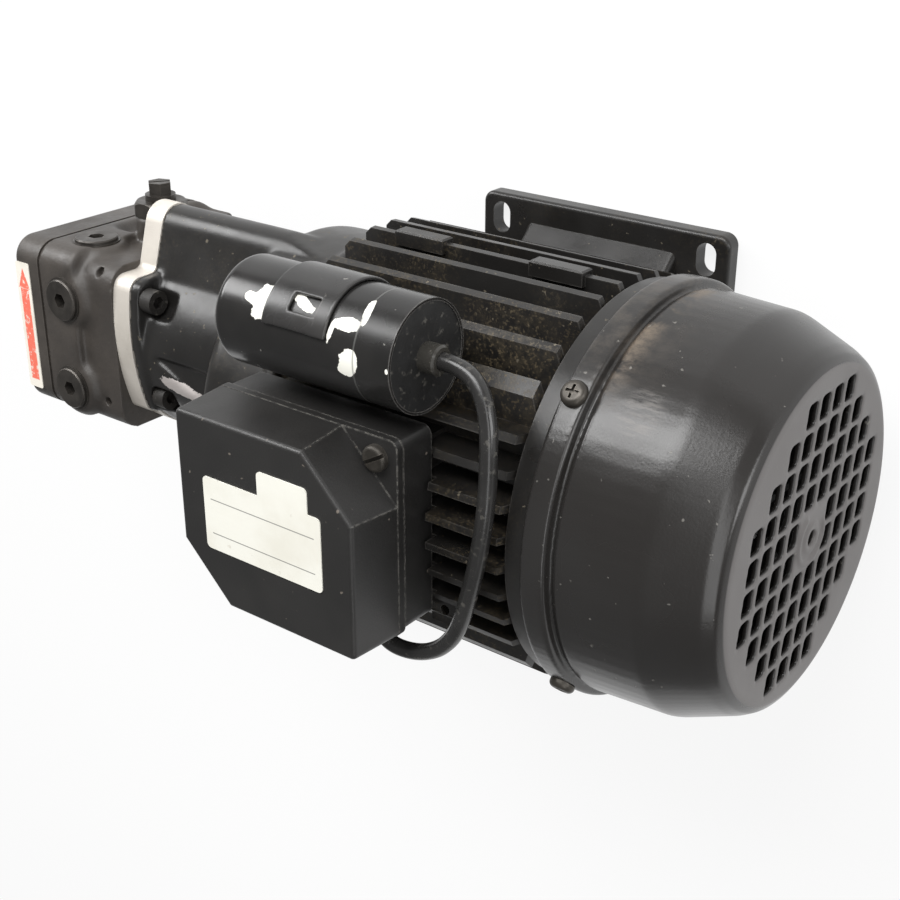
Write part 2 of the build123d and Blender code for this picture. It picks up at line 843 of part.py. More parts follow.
def make_pump_body():
    body = along_x(waist_outline(), pump_left, pump_right)
    body += along_x(pump_outline(), pump_left, pump_left + pump_band)
    half = pump_width / 2
    for y in side_plug_y:
        boss = plug_boss(half - plug_boss_height, half)
        body += Pos(plug_x, y, axis_z + half - plug_boss_height) * boss
        body += Pos(plug_x, y, axis_z - half + plug_boss_height) * Rot(180, 0, 0) * boss
    top_boss = plug_boss(top_boss_height - plug_boss_height, top_boss_height)
    seat = Pos(plug_x, top_boss_height - plug_boss_height, axis_z + top_plug_offset)
    body += seat * Rot(-90, 0, 0) * top_boss
    body += cross_rod(regulator_x, axis_z, 20, regulator_boss_top, regulator_boss_radius)
    body += rod(pump_right, pump_right + pump_spigot_length, pump_spigot_radius)
    body -= block(pump_left - 2 * plug_boss_radius, pump_left, -pump_width, pump_width, 0, 2 * axis_z)
    body -= cross_rod(plug_x, axis_z + top_plug_offset, top_boss_height, pump_height,
                      plug_washer_radius + run_gap)
    # Gear chamber with the recess for the gear plate
    body -= along_x(chamber_sketch(gear_tip_radius() + gear_tip_gap), pump_left - 1, chamber_right)
    body -= along_x(plate_pocket(), pump_left - 1, pump_left + gear_plate_thickness + 0.01)
    body -= rod(chamber_right - 1, pump_right, pump_shaft_radius + 0.04)
    body -= rod(pump_right - 0.5, pump_right + pump_spigot_length + 1, seal_radius + fit_gap)
    body -= rod(chamber_right - 1, chamber_right + 4, idler_pin_radius + 0.03, gear_centres)
    for y, w in plate_screw_places():
        body -= rod(pump_left, pump_left + gear_plate_thickness + plate_screw_length,
                    plate_screw_radius + fit_gap, y, axis_z + w)
    # Ports: the plugged ones on the seen sides and two open ones on the far side
    for y in side_plug_y:
        body -= post(plug_x, y, axis_z + half - plug_thread_length - 3, axis_z + half + 1,
                     plug_thread_radius + fit_gap)
        body -= post(plug_x, y, axis_z - half - 1, axis_z - half + port_depth, port_radius)
    body -= cross_rod(plug_x, axis_z + top_plug_offset, top_boss_height - top_plug_thread_length - 1,
                      top_boss_height + 1, plug_thread_radius + fit_gap)
    body -= cross_rod(regulator_x, axis_z, regulator_bore_low, regulator_boss_top + 1, regulator_bore)
    body -= cross_rod(regulator_x, axis_z, regulator_boss_top - regulator_thread_length - 0.5,
                      regulator_boss_top + 1, regulator_thread_radius + fit_gap)
    for y, w in ear_screws:
        body -= rod(pump_right - ear_screw_depth - 1, pump_right + 1, ear_screw_radius + fit_gap,
                    y, axis_z + w)
    for y, w in cover_bolts:
        body -= rod(pump_left - 1, pump_left + cover_bolt_depth + 0.6, cover_bolt_radius + fit_gap,
                    y, axis_z + w)
    for y in drilling_y:
        body -= post(drilling_x, y, axis_z + half - pump_waist - drilling_depth, axis_z + half,
                     drilling_radius)
    save("pump_body", body)


def plate_pocket():
    return offset(plate_outline(), fit_gap)


def cover_hollow(shrink=0.0):
    height = pump_height - cover_hollow_inset - 2 * shrink
    width = pump_width - 7 * cover_wall - 2 * shrink
    sketch = Pos(pump_middle_y, 0) * RectangleRounded(height, width, 6.0)
    for y, w in cover_bolts:
        sketch -= Pos(y, w) * Circle(cover_bolt_post)
    return sketch


def make_pump_cover():
    cover = along_x(pump_outline(), cover_left, cover_right)
    face = cover.faces().sort_by(Axis.X)[0]
    cover = fillet(face.edges(), cover_edge)
    cover -= along_x(cover_hollow(), cover_left + cover_wall, cover_right + 1)
    gasket = along_x(pump_outline(gasket_inset) - cover_hollow(), cover_right, pump_left)
    screws = []
    seat = cover_left + cover_bolt_recess
    for y, w in cover_bolts:
        hole = rod(cover_left - 1, pump_left + 1, cover_bolt_radius + bolt_gap, y, axis_z + w)
        cover -= hole
        gasket -= hole
        cover -= rod(cover_left - 1, seat, cover_bolt_head_radius + bolt_gap, y, axis_z + w)
        head = rod(seat - cover_bolt_head, seat, cover_bolt_head_radius, y, axis_z + w)
        shank = rod(seat, pump_left + cover_bolt_depth, cover_bolt_radius, y, axis_z + w)
        socket = Pos(seat - cover_bolt_head - 0.4, y, axis_z + w) * Rot(0, 90, 0) * hex_prism(4.0, 3.0)
        screws.append(head + shank - socket)
    save("pump_cover", cover)
    save("pump_gasket", gasket)
    save("pump_cover_screws", *screws)


# Spur gear section with involute flanks
def gear_section(bore):
    pitch = gear_module * gear_teeth / 2
    base = pitch * math.cos(math.radians(pressure_angle))
    root = pitch - 1.25 * gear_module
    tip = gear_tip_radius()
    spread = math.tan(math.radians(pressure_angle)) - math.radians(pressure_angle)
    half_tooth = math.pi / (2 * gear_teeth) - gear_backlash / (2 * pitch) + spread

    def flank_angle(radius):
        if radius <= base:
            return half_tooth
        turn = math.acos(base / radius)
        return half_tooth - (math.tan(turn) - turn)

    sketch = Circle(root)
    steps = [root - 0.6, base, base + (tip - base) / 3, base + 2 * (tip - base) / 3, tip]
    for tooth in range(gear_teeth):
        centre = 2 * math.pi * tooth / gear_teeth
        left = [(r * math.cos(centre + flank_angle(r)), r * math.sin(centre + flank_angle(r))) for r in steps]
        right = [(r * math.cos(centre - flank_angle(r)), r * math.sin(centre - flank_angle(r))) for r in steps]
        crown = (tip * math.cos(centre), tip * math.sin(centre))
        flank_left = Polyline(*left)
        top_arc = ThreePointArc(left[-1], crown, right[-1])
        flank_right = Polyline(*reversed(right))
        close_line = Line(right[0], left[0])
        sketch += make_face([flank_left, top_arc, flank_right, close_line])
    return sketch - Circle(bore)


def make_pump_gears():
    gear_left = pump_left + gear_plate_thickness + gear_face_gap
    gear_right = gear_left + gear_width
    drive = along_x(gear_section(pump_shaft_radius + 0.02), gear_left, gear_right)
    key_z = axis_z + pump_shaft_radius
    keyway = block(gear_left - 1, gear_right + 1, -key_width / 2 - 0.02, key_width / 2 + 0.02,
                   key_z - 1, key_z + key_height / 2 + 0.02)
    save("drive_gear", drive - keyway)
    key = block(gear_left + 0.2, gear_right - 0.2, -key_width / 2, key_width / 2,
                key_z - key_height / 2, key_z + key_height / 2)
    save("gear_key", key)
    section = Rot(0, 0, 180 / gear_teeth) * gear_section(idler_pin_radius + 0.04)
    driven = along_x(Pos(gear_centres, 0) * section, gear_left, gear_right)
    save("driven_gear", driven)
    pin = rod(pump_left + 0.2, chamber_right + 3.8, idler_pin_radius, gear_centres)
    save("idler_pin", pin)
    shaft_left = pump_left + 0.2
    shaft_right_end = spider_middle - coupling_jaw_length / 2 - 0.5
    shaft = rod(shaft_left, shaft_right_end, pump_shaft_radius)
    slot = block(gear_left + 0.2, gear_right - 0.2, -key_width / 2 - 0.02, key_width / 2 + 0.02,
                 key_z - key_height / 2 - 0.02, key_z + 1)
    save("pump_shaft", shaft - slot)
    plate = along_x(plate_outline(), pump_left, pump_left + gear_plate_thickness)
    plate -= rod(pump_left - 1, pump_left + gear_plate_thickness + 1, pump_shaft_radius + 0.04)
    plate -= rod(pump_left - 1, pump_left + gear_plate_thickness + 1, idler_pin_radius + 0.03, gear_centres)
    screws = []
    for y, w in plate_screw_places():
        plate -= rod(pump_left - 1, pump_left + gear_plate_thickness + 1, plate_screw_radius + bolt_gap,
                     y, axis_z + w)
        head = rod(pump_left - plate_screw_head, pump_left, plate_screw_head_radius, y, axis_z + w)
        shank = rod(pump_left, pump_left + gear_plate_thickness + plate_screw_length - 1,
                    plate_screw_radius, y, axis_z + w)
        slot_cut = block(pump_left - plate_screw_head - 1, pump_left - plate_screw_head + 1,
                         y - 5, y + 5, axis_z + w - 0.5, axis_z + w + 0.5)
        screws.append(head + shank - slot_cut)
    save("gear_plate", plate)
    save("gear_plate_screws", *screws)
    seal_left = pump_right - 0.5
    seal = tube(seal_left, seal_left + seal_length, seal_radius, pump_shaft_radius + seal_lip_gap)
    save("shaft_seal", seal)


# Strainer: a perforated sleeve round the gear plate, inside the cover
def make_strainer():
    height = pump_height - cover_hollow_inset - 2 * strainer_wall
    outer = RectangleRounded(height, strainer_width, 4.0)
    inner = RectangleRounded(height - 2 * strainer_wall, strainer_width - 2 * strainer_wall, 3.0)
    left, right = cover_left + cover_wall + 0.1, pump_left - 0.1
    sleeve = along_x(Pos(pump_middle_y, 0) * (outer - inner), left, right)
    low, high = pump_middle_y - pump_height, pump_middle_y + pump_height
    for level in strainer_slots:
        slot_z = axis_z + level
        sleeve -= block(left + 2, right - 2, low, high, slot_z - strainer_slot_width / 2,
                        slot_z + strainer_slot_width / 2)
    save("strainer", sleeve)


# Port plugs with hexagon sockets and their washers
def make_plug(thread_length):
    washer = extrude(Circle(plug_washer_radius) - Circle(plug_thread_radius + bolt_gap), plug_washer)
    head = Pos(0, 0, plug_washer) * extrude(Circle(plug_radius), plug_head)
    head = chamfer(head.edges().filter_by(GeomType.CIRCLE).sort_by(Axis.Z)[-1], 0.4)
    thread = Pos(0, 0, -thread_length) * extrude(Circle(plug_thread_radius), thread_length + plug_washer)
    top = plug_washer + plug_head
    socket = Pos(0, 0, top - plug_hex_depth) * hex_prism(plug_hex, plug_hex_depth + 1)
    return washer, head + thread - socket


def make_port_plugs():
    half = pump_width / 2
    washer, plug = make_plug(plug_thread_length)
    top_washer, top_plug = make_plug(top_plug_thread_length)
    places = [Pos(plug_x, y, axis_z + half) for y in side_plug_y]
    top_place = Pos(plug_x, top_boss_height, axis_z + top_plug_offset) * Rot(-90, 0, 0)
    save("port_plugs", *[place * plug for place in places], top_place * top_plug)
    save("plug_washers", *[place * washer for place in places], top_place * top_washer)


# Pressure regulator: hexagon cap, adjusting screw, piston and spring
def make_regulator():
    place = Pos(regulator_x, regulator_boss_top, axis_z) * Rot(-90, 0, 0)
    cap = hex_prism(regulator_hex, regulator_hex_height)
    dome = Pos(0, 0, -1) * Cylinder(regulator_hex / 2 * 1.12, regulator_hex_height + 1,
                                    align=(Align.CENTER, Align.CENTER, Align.MIN))
    dome = chamfer(dome.edges().filter_by(GeomType.CIRCLE).sort_by(Axis.Z)[-1], regulator_chamfer)
    cap &= dome
    thread = Pos(0, 0, -regulator_thread_length) * Cylinder(
        regulator_thread_radius, regulator_thread_length, align=(Align.CENTER, Align.CENTER, Align.MIN))
    cap += thread
    depth = regulator_hex_height + 2
    bore = Cylinder(regulator_screw_radius + fit_gap, depth, align=(Align.CENTER, Align.CENTER, Align.MIN))
    cap -= Pos(0, 0, regulator_hex_height - depth + 0.5) * bore
    save("regulator_cap", place * cap)
    top = regulator_hex_height
    washer = Circle(regulator_washer_radius) - Circle(regulator_screw_radius + bolt_gap)
    save("regulator_washer", place * Pos(0, 0, top) * extrude(washer, regulator_washer))
    head = Pos(0, 0, top + regulator_washer) * hex_prism(regulator_screw_hex, regulator_screw_head, 20)
    shank_length = regulator_washer + depth - 1.5
    shank = Pos(0, 0, top + regulator_washer - shank_length) * Cylinder(
        regulator_screw_radius, shank_length, align=(Align.CENTER, Align.CENTER, Align.MIN))
    slot = Pos(0, 0, top + regulator_washer + regulator_screw_head) * Rot(0, 0, 55) * Box(
        2 * regulator_screw_hex, regulator_slot, regulator_screw_head)
    save("regulator_screw", place * (head + shank - slot))
    piston_low = regulator_bore_low + 1
    piston = cross_rod(regulator_x, axis_z, piston_low, piston_low + piston_length, regulator_bore - 0.03)
    nose = cross_rod(regulator_x, axis_z, piston_low - 1, piston_low, 2.0)
    save("regulator_piston", piston + nose)
    spring_low = piston_low + piston_length
    spring_high = regulator_boss_top - regulator_thread_length
    rise = spring_high - spring_low - 3 * spring_wire
    path = Helix(rise / spring_turns, rise, spring_radius)
    wire = Plane(path @ 0, z_dir=path % 0) * Rectangle(2 * spring_wire, 2 * spring_wire)
    coil = sweep(wire, path=path)
    save("regulator_spring", Pos(regulator_x, spring_low + 1.5 * spring_wire, axis_z) * Rot(-90, 0, 0) * coil)


# Elastic jaw coupling between motor shaft and pump shaft
def make_coupling():
    jaw_half = 360 / (4 * coupling_jaws)
    middle = spider_middle
    half = coupling_jaw_length / 2

    def sector(inner, outer, start, sweep_angle):
        ring = Circle(outer) - Circle(inner)
        reach = 2 * outer
        first = math.radians(start)
        last = math.radians(start + sweep_angle)
        centre = math.radians(start + sweep_angle / 2)
        wedge = Polyline(
            (0, 0),
            (reach * math.cos(first), reach * math.sin(first)),
            (reach * math.cos(centre), reach * math.sin(centre)),
            (reach * math.cos(last), reach * math.sin(last)),
            close=True,
        )
        return ring & make_face(wedge)

    step = 360 / coupling_jaws
    width = 32.0
    motor_hub = tube(middle + half, middle + half + coupling_hub_length, coupling_radius,
                     shaft_end_radius + 0.02)
    pump_hub = tube(middle - half - coupling_hub_length, middle - half, coupling_radius,
                    pump_shaft_radius + 0.02)
    spider = Circle(coupling_radius - 6)
    for number in range(coupling_jaws):
        jaw = sector(coupling_radius - 5.5, coupling_radius, number * step - width / 2, width)
        motor_hub += along_x(jaw, middle - half + coupling_gap, middle + half)
        other = sector(coupling_radius - 5.5, coupling_radius, number * step + step / 2 - width / 2, width)
        pump_hub += along_x(other, middle - half, middle + half - coupling_gap)
    pad = step / 2 - width - 1.5
    for number in range(2 * coupling_jaws):
        centre = number * step / 2 + step / 4
        spider += sector(coupling_radius - 7, coupling_radius - 0.4, centre - pad / 2, pad)
    body = along_x(spider, middle - half + coupling_gap, middle + half - coupling_gap)
    screws = []
    for x in (middle + half + coupling_hub_length / 2, middle - half - coupling_hub_length / 2):
        hole = post(x, 0, axis_z + shaft_end_radius, axis_z + coupling_radius + 1, set_screw_radius + fit_gap)
        motor_hub -= hole
        pump_hub -= hole
        screws.append(post(x, 0, axis_z + shaft_end_radius + 0.05, axis_z + coupling_radius - 1,
                           set_screw_radius))
    save("motor_coupling_hub", motor_hub)
    save("pump_coupling_hub", pump_hub)
    save("coupling_spider", body)
    save("coupling_set_screws", *screws)


# Rear end shield
def make_rear_shield():
    left = housing_right
    shield = turned([
        (left, 0),
        (left, rear_rim_radius),
        (left + rear_rim_length, rear_rim_radius),
        (left + rear_rim_length, rear_rim_radius - rear_rim_wall),
        (left + rear_shield_thickness, rear_rim_radius - rear_rim_wall),
        (left + rear_shield_thickness, bearing_outer + 8),
        (rear_bearing_left + bearing_width + 2, bearing_outer + hub_wall),
        (rear_bearing_left + bearing_width + 2, 0),
    ])
    spigot = tube(left - spigot_length, left + 1, housing_bore - fit_gap, housing_bore - spigot_wall)
    hub = rod(rear_bearing_left - 2, left + 1, bearing_outer + hub_wall)
    shield += spigot + hub
    shield -= rod(rear_bearing_left - 3, rear_bearing_left + bearing_width, bearing_outer + 0.02)
    shield -= rod(rear_bearing_left, rear_bearing_left + 20, seal_hole)
    for y, z in tie_bolt_places():
        shield -= rod(left - spigot_length - 1, left + rear_rim_length, tie_bolt_radius + bolt_gap, y, z)
    for angle in fan_cover_angles():
        hole = post(cover_screw_x, 0, axis_z + 50, axis_z + rear_rim_radius + 1, cover_screw_radius + fit_gap)
        shield -= around(hole, angle)
    save("rear_end_shield", shield)


def fan_cover_angles():
    return [45 + 90 * number for number in range(4)]


def make_tie_bolts():
    bolts = []
    seat = housing_right + rear_shield_thickness
    for y, z in tie_bolt_places():
        shank = rod(housing_left - boss_length + 4, seat, tie_bolt_radius, y, z)
        head = Pos(seat, y, z) * Rot(0, 90, 0) * hex_prism(2 * tie_bolt_head_radius, tie_bolt_head)
        bolts.append(shank + head)
    save("tie_bolts", *bolts)


# Fan on the shaft end
def make_fan():
    hub = rod(fan_left, fan_left + fan_width - 4, fan_hub_radius)
    disc = rod(fan_left, fan_left + fan_disc, fan_radius - 6)
    fan = hub + disc
    blade = block(fan_left, fan_left + fan_width, -fan_blade_thickness / 2, fan_blade_thickness / 2,
                  axis_z + fan_hub_radius - 2, axis_z + fan_radius)
    reach = turned([
        (fan_left - 1, 0),
        (fan_left - 1, fan_radius),
        (fan_left + fan_width * 0.6, fan_radius),
        (fan_left + fan_width, fan_radius - 8),
        (fan_left + fan_width, 0),
    ])
    for number in range(fan_blades):
        fan += around(blade, number * 360 / fan_blades) & reach
    fan -= rod(fan_left - 1, fan_left + fan_width + 1, journal_radius + 0.02)
    save("cooling_fan", fan)
    groove_left = shaft_right - ring_groove - 2 - ring_width
    ring = tube(groove_left + 0.05, groove_left + ring_width - 0.05, ring_radius,
                journal_radius - ring_groove + 0.05)
    ring -= block(groove_left - 1, groove_left + 2, -1.5, 1.5, axis_z, axis_z + 2 * ring_radius)
    save("fan_retaining_ring", ring)


# Fan cover: collar, groove, barrel, rounded taper and the grille
def cover_profile(inset):
    left = collar_left
    groove = left + collar_width
    start = groove + groove_width
    arc = ThreePointArc(
        (cover_kink, cover_radius_kink - inset),
        (cover_arc_middle[0], cover_arc_middle[1] - inset),
        (cover_corner_start[0] - inset * 0.6, cover_corner_start[1] - inset),
    )
    end = cover_end - inset
    nose = ThreePointArc(
        arc @ 1,
        (end - 0.6, (arc @ 1).Y - 1.6),
        (end, cover_face_radius - inset),
    )
    if inset:
        outline = Polyline((left - 1, 0), (left - 1, collar_radius - inset),
                           (groove - inset, collar_radius - inset),
                           (groove - inset, cover_radius_left - groove_depth / 2 - inset),
                           (start, cover_radius_left - groove_depth / 2 - inset),
                           (start + 1, cover_radius_left - inset), arc @ 0)
    else:
        outline = Polyline((left, 0), (left, collar_radius - 0.5), (left + 0.5, collar_radius),
                           (groove - 0.8, collar_radius), (groove, collar_radius - 0.8),
                           (groove, cover_radius_left - groove_depth / 2),
                           (start, cover_radius_left - groove_depth / 2),
                           (start, cover_radius_left - 0.4), (start + 0.4, cover_radius_left), arc @ 0)
    closing = Polyline(nose @ 1, (end, 0), outline @ 0)
    return make_face([Plane.XZ * piece for piece in (outline, arc, nose, closing)])


def grille_cells():
    width, height, slant = grille_cell_width / 2, grille_cell_height / 2, grille_cell_slant / 2
    cell = make_face(Polyline(
        (height, -width - slant),
        (height, width - slant),
        (-height, width + slant),
        (-height, -width + slant),
        close=True,
    ))
    cells = []
    for row in range(grille_rows):
        count = min(grille_row_max, grille_row_min + 2 * min(row, grille_rows - 1 - row))
        level = grille_row_pitch * ((grille_rows - 1) / 2 - row)
        middle = grille_row_shift * (row - (grille_rows - 1) / 2)
        for number in range(count):
            place = middle + grille_pitch * (number - (count - 1) / 2)
            if math.hypot(level, place) > grille_hub_clear:
                cells.append(Pos(level, place) * cell)
    return cells


def make_fan_cover():
    outer = Pos(0, 0, axis_z) * revolve(cover_profile(0), Axis.X)
    inner = Pos(0, 0, axis_z) * revolve(cover_profile(cover_shell), Axis.X)
    cover = outer - inner
    cutters = [along_x(cell, cover_end - cover_shell - 1, cover_end + 1) for cell in grille_cells()]
    cover -= cutters
    cover += rod(cover_end - cover_shell, cover_end + 0.6, hub_boss_radius)
    cover -= rod(cover_end - cover_shell - 1, cover_end + 2, hub_hole_radius)
    ring = tube(cover_end - 0.5, cover_end + hub_ring_height, hub_ring_radius, hub_ring_radius - hub_ring_width)
    gap = block(cover_end - 2, cover_end + 3, 0, 2 * hub_ring_radius, axis_z - hub_ring_radius * 2, axis_z + 1)
    cover += ring - around(gap, 20)
    for angle in fan_cover_angles():
        hole = post(cover_screw_x, 0, axis_z + 55, axis_z + collar_radius + 1, cover_screw_radius + bolt_gap)
        cover -= around(hole, angle)
        flat = block(cover_screw_x - 4.2, cover_screw_x + 4.2, -4.2, 4.2, axis_z + collar_radius - 0.2,
                     axis_z + collar_radius + 3)
        cover -= around(flat, angle)
    save("fan_cover", cover)
    screws = []
    for angle in fan_cover_angles():
        seat = axis_z + collar_radius - 0.2
        head = Pos(cover_screw_x, 0, seat) * extrude(Circle(cover_screw_head_radius), cover_screw_head)
        head = fillet(head.edges().filter_by(GeomType.CIRCLE).sort_by(Axis.Z)[-1], cover_screw_head * 0.7)
        shank = post(cover_screw_x, 0, seat - cover_screw_length, seat, cover_screw_radius)
        cross = Pos(cover_screw_x, 0, seat + cover_screw_head) * (Box(4.0, 0.9, 2.2) + Box(0.9, 4.0, 2.2))
        screws.append(around(head + shank - cross, angle))
    save("fan_cover_screws", *screws)


# Terminal box
box_base_low = box_seat_z
box_rim = box_seat_z + box_base_height + box_gasket
box_middle = (box_left + box_right) / 2


def box_screw_places():
    right = (box_right - box_screw_inset_x, box_width / 2 - box_screw_inset_y)
    left = (box_left + box_screw_inset_x, -box_width / 2 + box_screw_inset_y)
    return [right, left]


def box_sketch(grow, corner):
    return Pos(box_middle, 0) * RectangleRounded(box_right - box_left + 2 * grow, box_width + 2 * grow, corner)


def make_box_base():
    top = box_base_low + box_base_height
    base = Pos(0, 0, box_base_low) * extrude(box_sketch(-0.6, box_corner), box_base_height)
    hollow = Pos(0, 0, box_base_low + box_floor) * extrude(box_sketch(-0.6 - box_wall, 1.5), box_base_height)
    for x, y in box_screw_places():
        hollow -= post(x, y, box_base_low, top, box_post_radius)
    base -= hollow
    base -= post(wire_way_x, 0, box_base_low - 1, box_base_low + box_floor + 1, wire_way_radius)
    for x in box_fixing_places():
        base -= post(x, 0, box_base_low - 1, box_base_low + box_floor + 1, box_screw_radius + bolt_gap)
    for x, y in box_screw_places():
        base -= post(x, y, top - 9, top + 1, box_screw_radius + fit_gap)
    wall = -box_width / 2 + 0.6
    lead_end = lead_route[-1]
    base -= cross_rod(lead_end[0], lead_end[2], wall - 1, wall + box_wall + 1, lead_radius + 0.8)
    base -= cross_rod(entry_x, entry_z, wall - 1, wall + box_wall + 1, entry_radius)
    save("terminal_box_base", base)
    fixings = []
    for x in box_fixing_places():
        floor = box_base_low + box_floor
        head = post(x, 0, floor, floor + box_screw_head, box_screw_head_radius)
        fixings.append(head + post(x, 0, floor - 9, floor, box_screw_radius))
    parts["box_fixings"] = fixings
    gasket = Pos(0, 0, top) * extrude(box_sketch(-0.6, box_corner) - box_sketch(-3.4, 1.5), box_gasket)
    for x, y in box_screw_places():
        gasket += post(x, y, top, top + box_gasket, box_post_radius)
    for x, y in box_screw_places():
        gasket -= post(x, y, top - 1, top + 2, box_screw_radius + bolt_gap)
    save("terminal_box_gasket", gasket)
    grommet = cross_rod(entry_x, entry_z, wall - entry_lip, wall, entry_radius + 1.4)
    grommet += cross_rod(entry_x, entry_z, wall, wall + box_wall + 1, entry_radius - fit_gap)
    save("cable_entry_grommet", grommet)


def cover_block(inset):
    sketch = box_sketch(-inset, max(box_corner - inset, 0.8))
    body = Pos(0, 0, box_rim) * extrude(sketch, cover_height - inset, taper=cover_taper)
    return body


def cover_pockets(grow):
    pockets = []
    for side in (1, -1):
        corner_x = box_right if side > 0 else box_left
        corner_y = side * box_width / 2
        reach = cover_pocket + 2.5 + grow
        triangle = make_face(Polyline(
            (corner_x + side * 3, corner_y + side * 3),
            (corner_x + side * 3, corner_y - side * reach),
            (corner_x, corner_y - side * reach),
            (corner_x - side * reach, corner_y),
            (corner_x - side * reach, corner_y + side * 3),
            close=True,
        ))
        low = box_rim + cover_flange - grow
        pockets.append(Pos(0, 0, low) * extrude(triangle, cover_height))
    return pockets


def make_box_cover():
    outer = cover_block(0)
    for pocket in cover_pockets(0):
        outer -= pocket
    front = outer.faces().sort_by(Axis.Z)[-1]
    outer = fillet(front.edges(), cover_round)
    inner = Pos(0, 0, -0.01) * cover_block(box_wall)
    for pocket in cover_pockets(box_wall):
        inner -= pocket
    cover = outer - inner
    lip = Pos(0, 0, box_rim) * extrude(box_sketch(0, box_corner) - box_sketch(-box_wall, 1.5), cover_flange)
    cover += lip
    for x, y in box_screw_places():
        cover += post(x, y, box_rim, box_rim + cover_flange, box_post_radius)
    for x, y in box_screw_places():
        cover -= post(x, y, box_rim - 1, box_rim + cover_flange + 1, box_screw_radius + bolt_gap)
    save("terminal_box_cover", cover)
    screws = []
    for x, y in box_screw_places():
        seat = box_rim + cover_flange
        head = Pos(x, y, seat) * extrude(Circle(box_screw_head_radius), box_screw_head)
        head = fillet(head.edges().filter_by(GeomType.CIRCLE).sort_by(Axis.Z)[-1], box_screw_head * 0.5)
        shank = post(x, y, seat - 10, seat, box_screw_radius)
        slot = Pos(x, y, seat + box_screw_head) * Rot(0, 0, 30) * Box(9, 1.1, 2.2)
        screws.append(head + shank - slot)
    save("terminal_box_screws", *screws, *parts.pop("box_fixings"))


def make_label():
    face = box_rim + cover_height
    middle_x = label_left + label_length / 2
    middle_y = label_low + label_height / 2
    label = Pos(middle_x, middle_y) * RectangleRounded(label_length, label_height, label_corner)
    tab_x = sticker_left + sticker_length / 2
    tab_y = label_low + label_height + sticker_height / 2 - 1
    label += Pos(tab_x, tab_y) * RectangleRounded(sticker_length, sticker_height + 2, label_corner)
    save("rating_label", Pos(0, 0, face) * extrude(label, label_thickness))


def make_terminal_block():
    low = box_base_low + box_floor
    body = block(block_x - block_length / 2, block_x + block_length / 2, block_y - block_width / 2,
                 block_y + block_width / 2, low, low + block_height)
    screws = []
    for number in range(block_poles):
        x = block_x + block_pitch * (number - (block_poles - 1) / 2)
        top = low + block_height
        body -= post(x, block_y, top - 5, top + 1, pole_screw_radius + fit_gap)
        body -= cross_rod(x, low + 3.5, block_y - block_width / 2 - 1, block_y + block_width / 2 + 1, 1.6)
        screw = post(x, block_y, top - 5, top - 1, pole_screw_radius)
        screw -= Pos(x, block_y, top - 1) * Box(8, 0.9, 1.6)
        screws.append(screw)
    for number in range(block_poles - 1):
        x = block_x + block_pitch * (number - (block_poles - 2) / 2)
        body -= block(x - 0.6, x + 0.6, block_y - block_width, block_y + block_width, low + block_height - 2,
                      low + block_height + 1)
    save("terminal_block", body)
    save("terminal_block_screws", *screws)


# Capacitor, clip and lead
def make_capacitor():
    can = rod(can_left, can_right, can_radius, can_y, can_z)
    rounded = can.edges().filter_by(GeomType.CIRCLE).sort_by(Axis.X)[0]
    can = fillet(rounded, can_round)
    can -= rod(can_right - can_recess, can_right + 1, can_radius - can_rim, can_y, can_z)
    save("capacitor_can", can)
    disc_left = can_right - can_recess
    disc = rod(disc_left, can_right - 0.3, can_radius - can_rim - fit_gap, can_y, can_z)
    save("capacitor_end_disc", disc)
    sleeve = rod(can_right - 0.3, can_right - 0.3 + outlet_length, outlet_radius, can_y, can_z)
    sleeve = chamfer(sleeve.edges().filter_by(GeomType.CIRCLE).sort_by(Axis.X)[-1], 0.6)
    sleeve -= rod(lead_route[0][0], can_right + outlet_length, lead_radius + fit_gap, can_y, can_z)
    save("capacitor_outlet", sleeve)


def arc_band(inner, outer, start, end):
    ring = Circle(outer) - Circle(inner)
    reach = 3 * outer
    points = [(0, 0)]
    steps = 6
    for step in range(steps + 1):
        angle = math.radians(start + (end - start) * step / steps)
        points.append((reach * math.cos(angle), reach * math.sin(angle)))
    return ring & make_face(Polyline(*points, close=True))


def make_clip():
    inner = can_radius + fit_gap
    outer = inner + clip_thickness
    shift = Pos(can_y, can_z - axis_z)
    band = along_x(shift * arc_band(inner, outer, -90, clip_end_angle), clip_left, clip_right)
    strip = block((clip_left + clip_right) / 2 - clip_foot_width / 2,
                  (clip_left + clip_right) / 2 + clip_foot_width / 2,
                  clip_foot_end, can_y, can_z - outer, can_z - inner)
    clip = band + strip
    middle = (clip_left + clip_right) / 2
    clip -= post(middle, clip_screw_y, can_z - outer - 1, can_z - inner + 1, clip_screw_radius + bolt_gap)
    window = block(middle + 0.6 - clip_window_length / 2, middle + 0.6 + clip_window_length / 2,
                   can_y, can_y + 2 * can_radius, can_z - clip_window_height / 2, can_z + clip_window_height / 2)
    turn = Pos(0, can_y, can_z) * Rot(clip_window_angle, 0, 0) * Pos(0, -can_y, -can_z)
    clip -= turn * window
    save("capacitor_clip", clip)
    seat = can_z - inner
    head = Pos(middle, clip_screw_y, seat) * extrude(Circle(clip_screw_head_radius), clip_screw_head)
    shank = post(middle, clip_screw_y, seat - clip_screw_length, seat, clip_screw_radius)
    slot = Pos(middle, clip_screw_y, seat + clip_screw_head) * Box(9, 1.0, 2.0)
    save("clip_screw", head + shank - slot)


def lead_radii():
    radii = []
    runs = [Vector(*lead_route[i + 1]) - Vector(*lead_route[i]) for i in range(len(lead_route) - 1)]
    for before, after in zip(runs[:-1], runs[1:]):
        turn = math.radians(before.get_angle(after))
        radii.append(0.45 * min(before.length, after.length) / math.tan(turn / 2))
    return radii


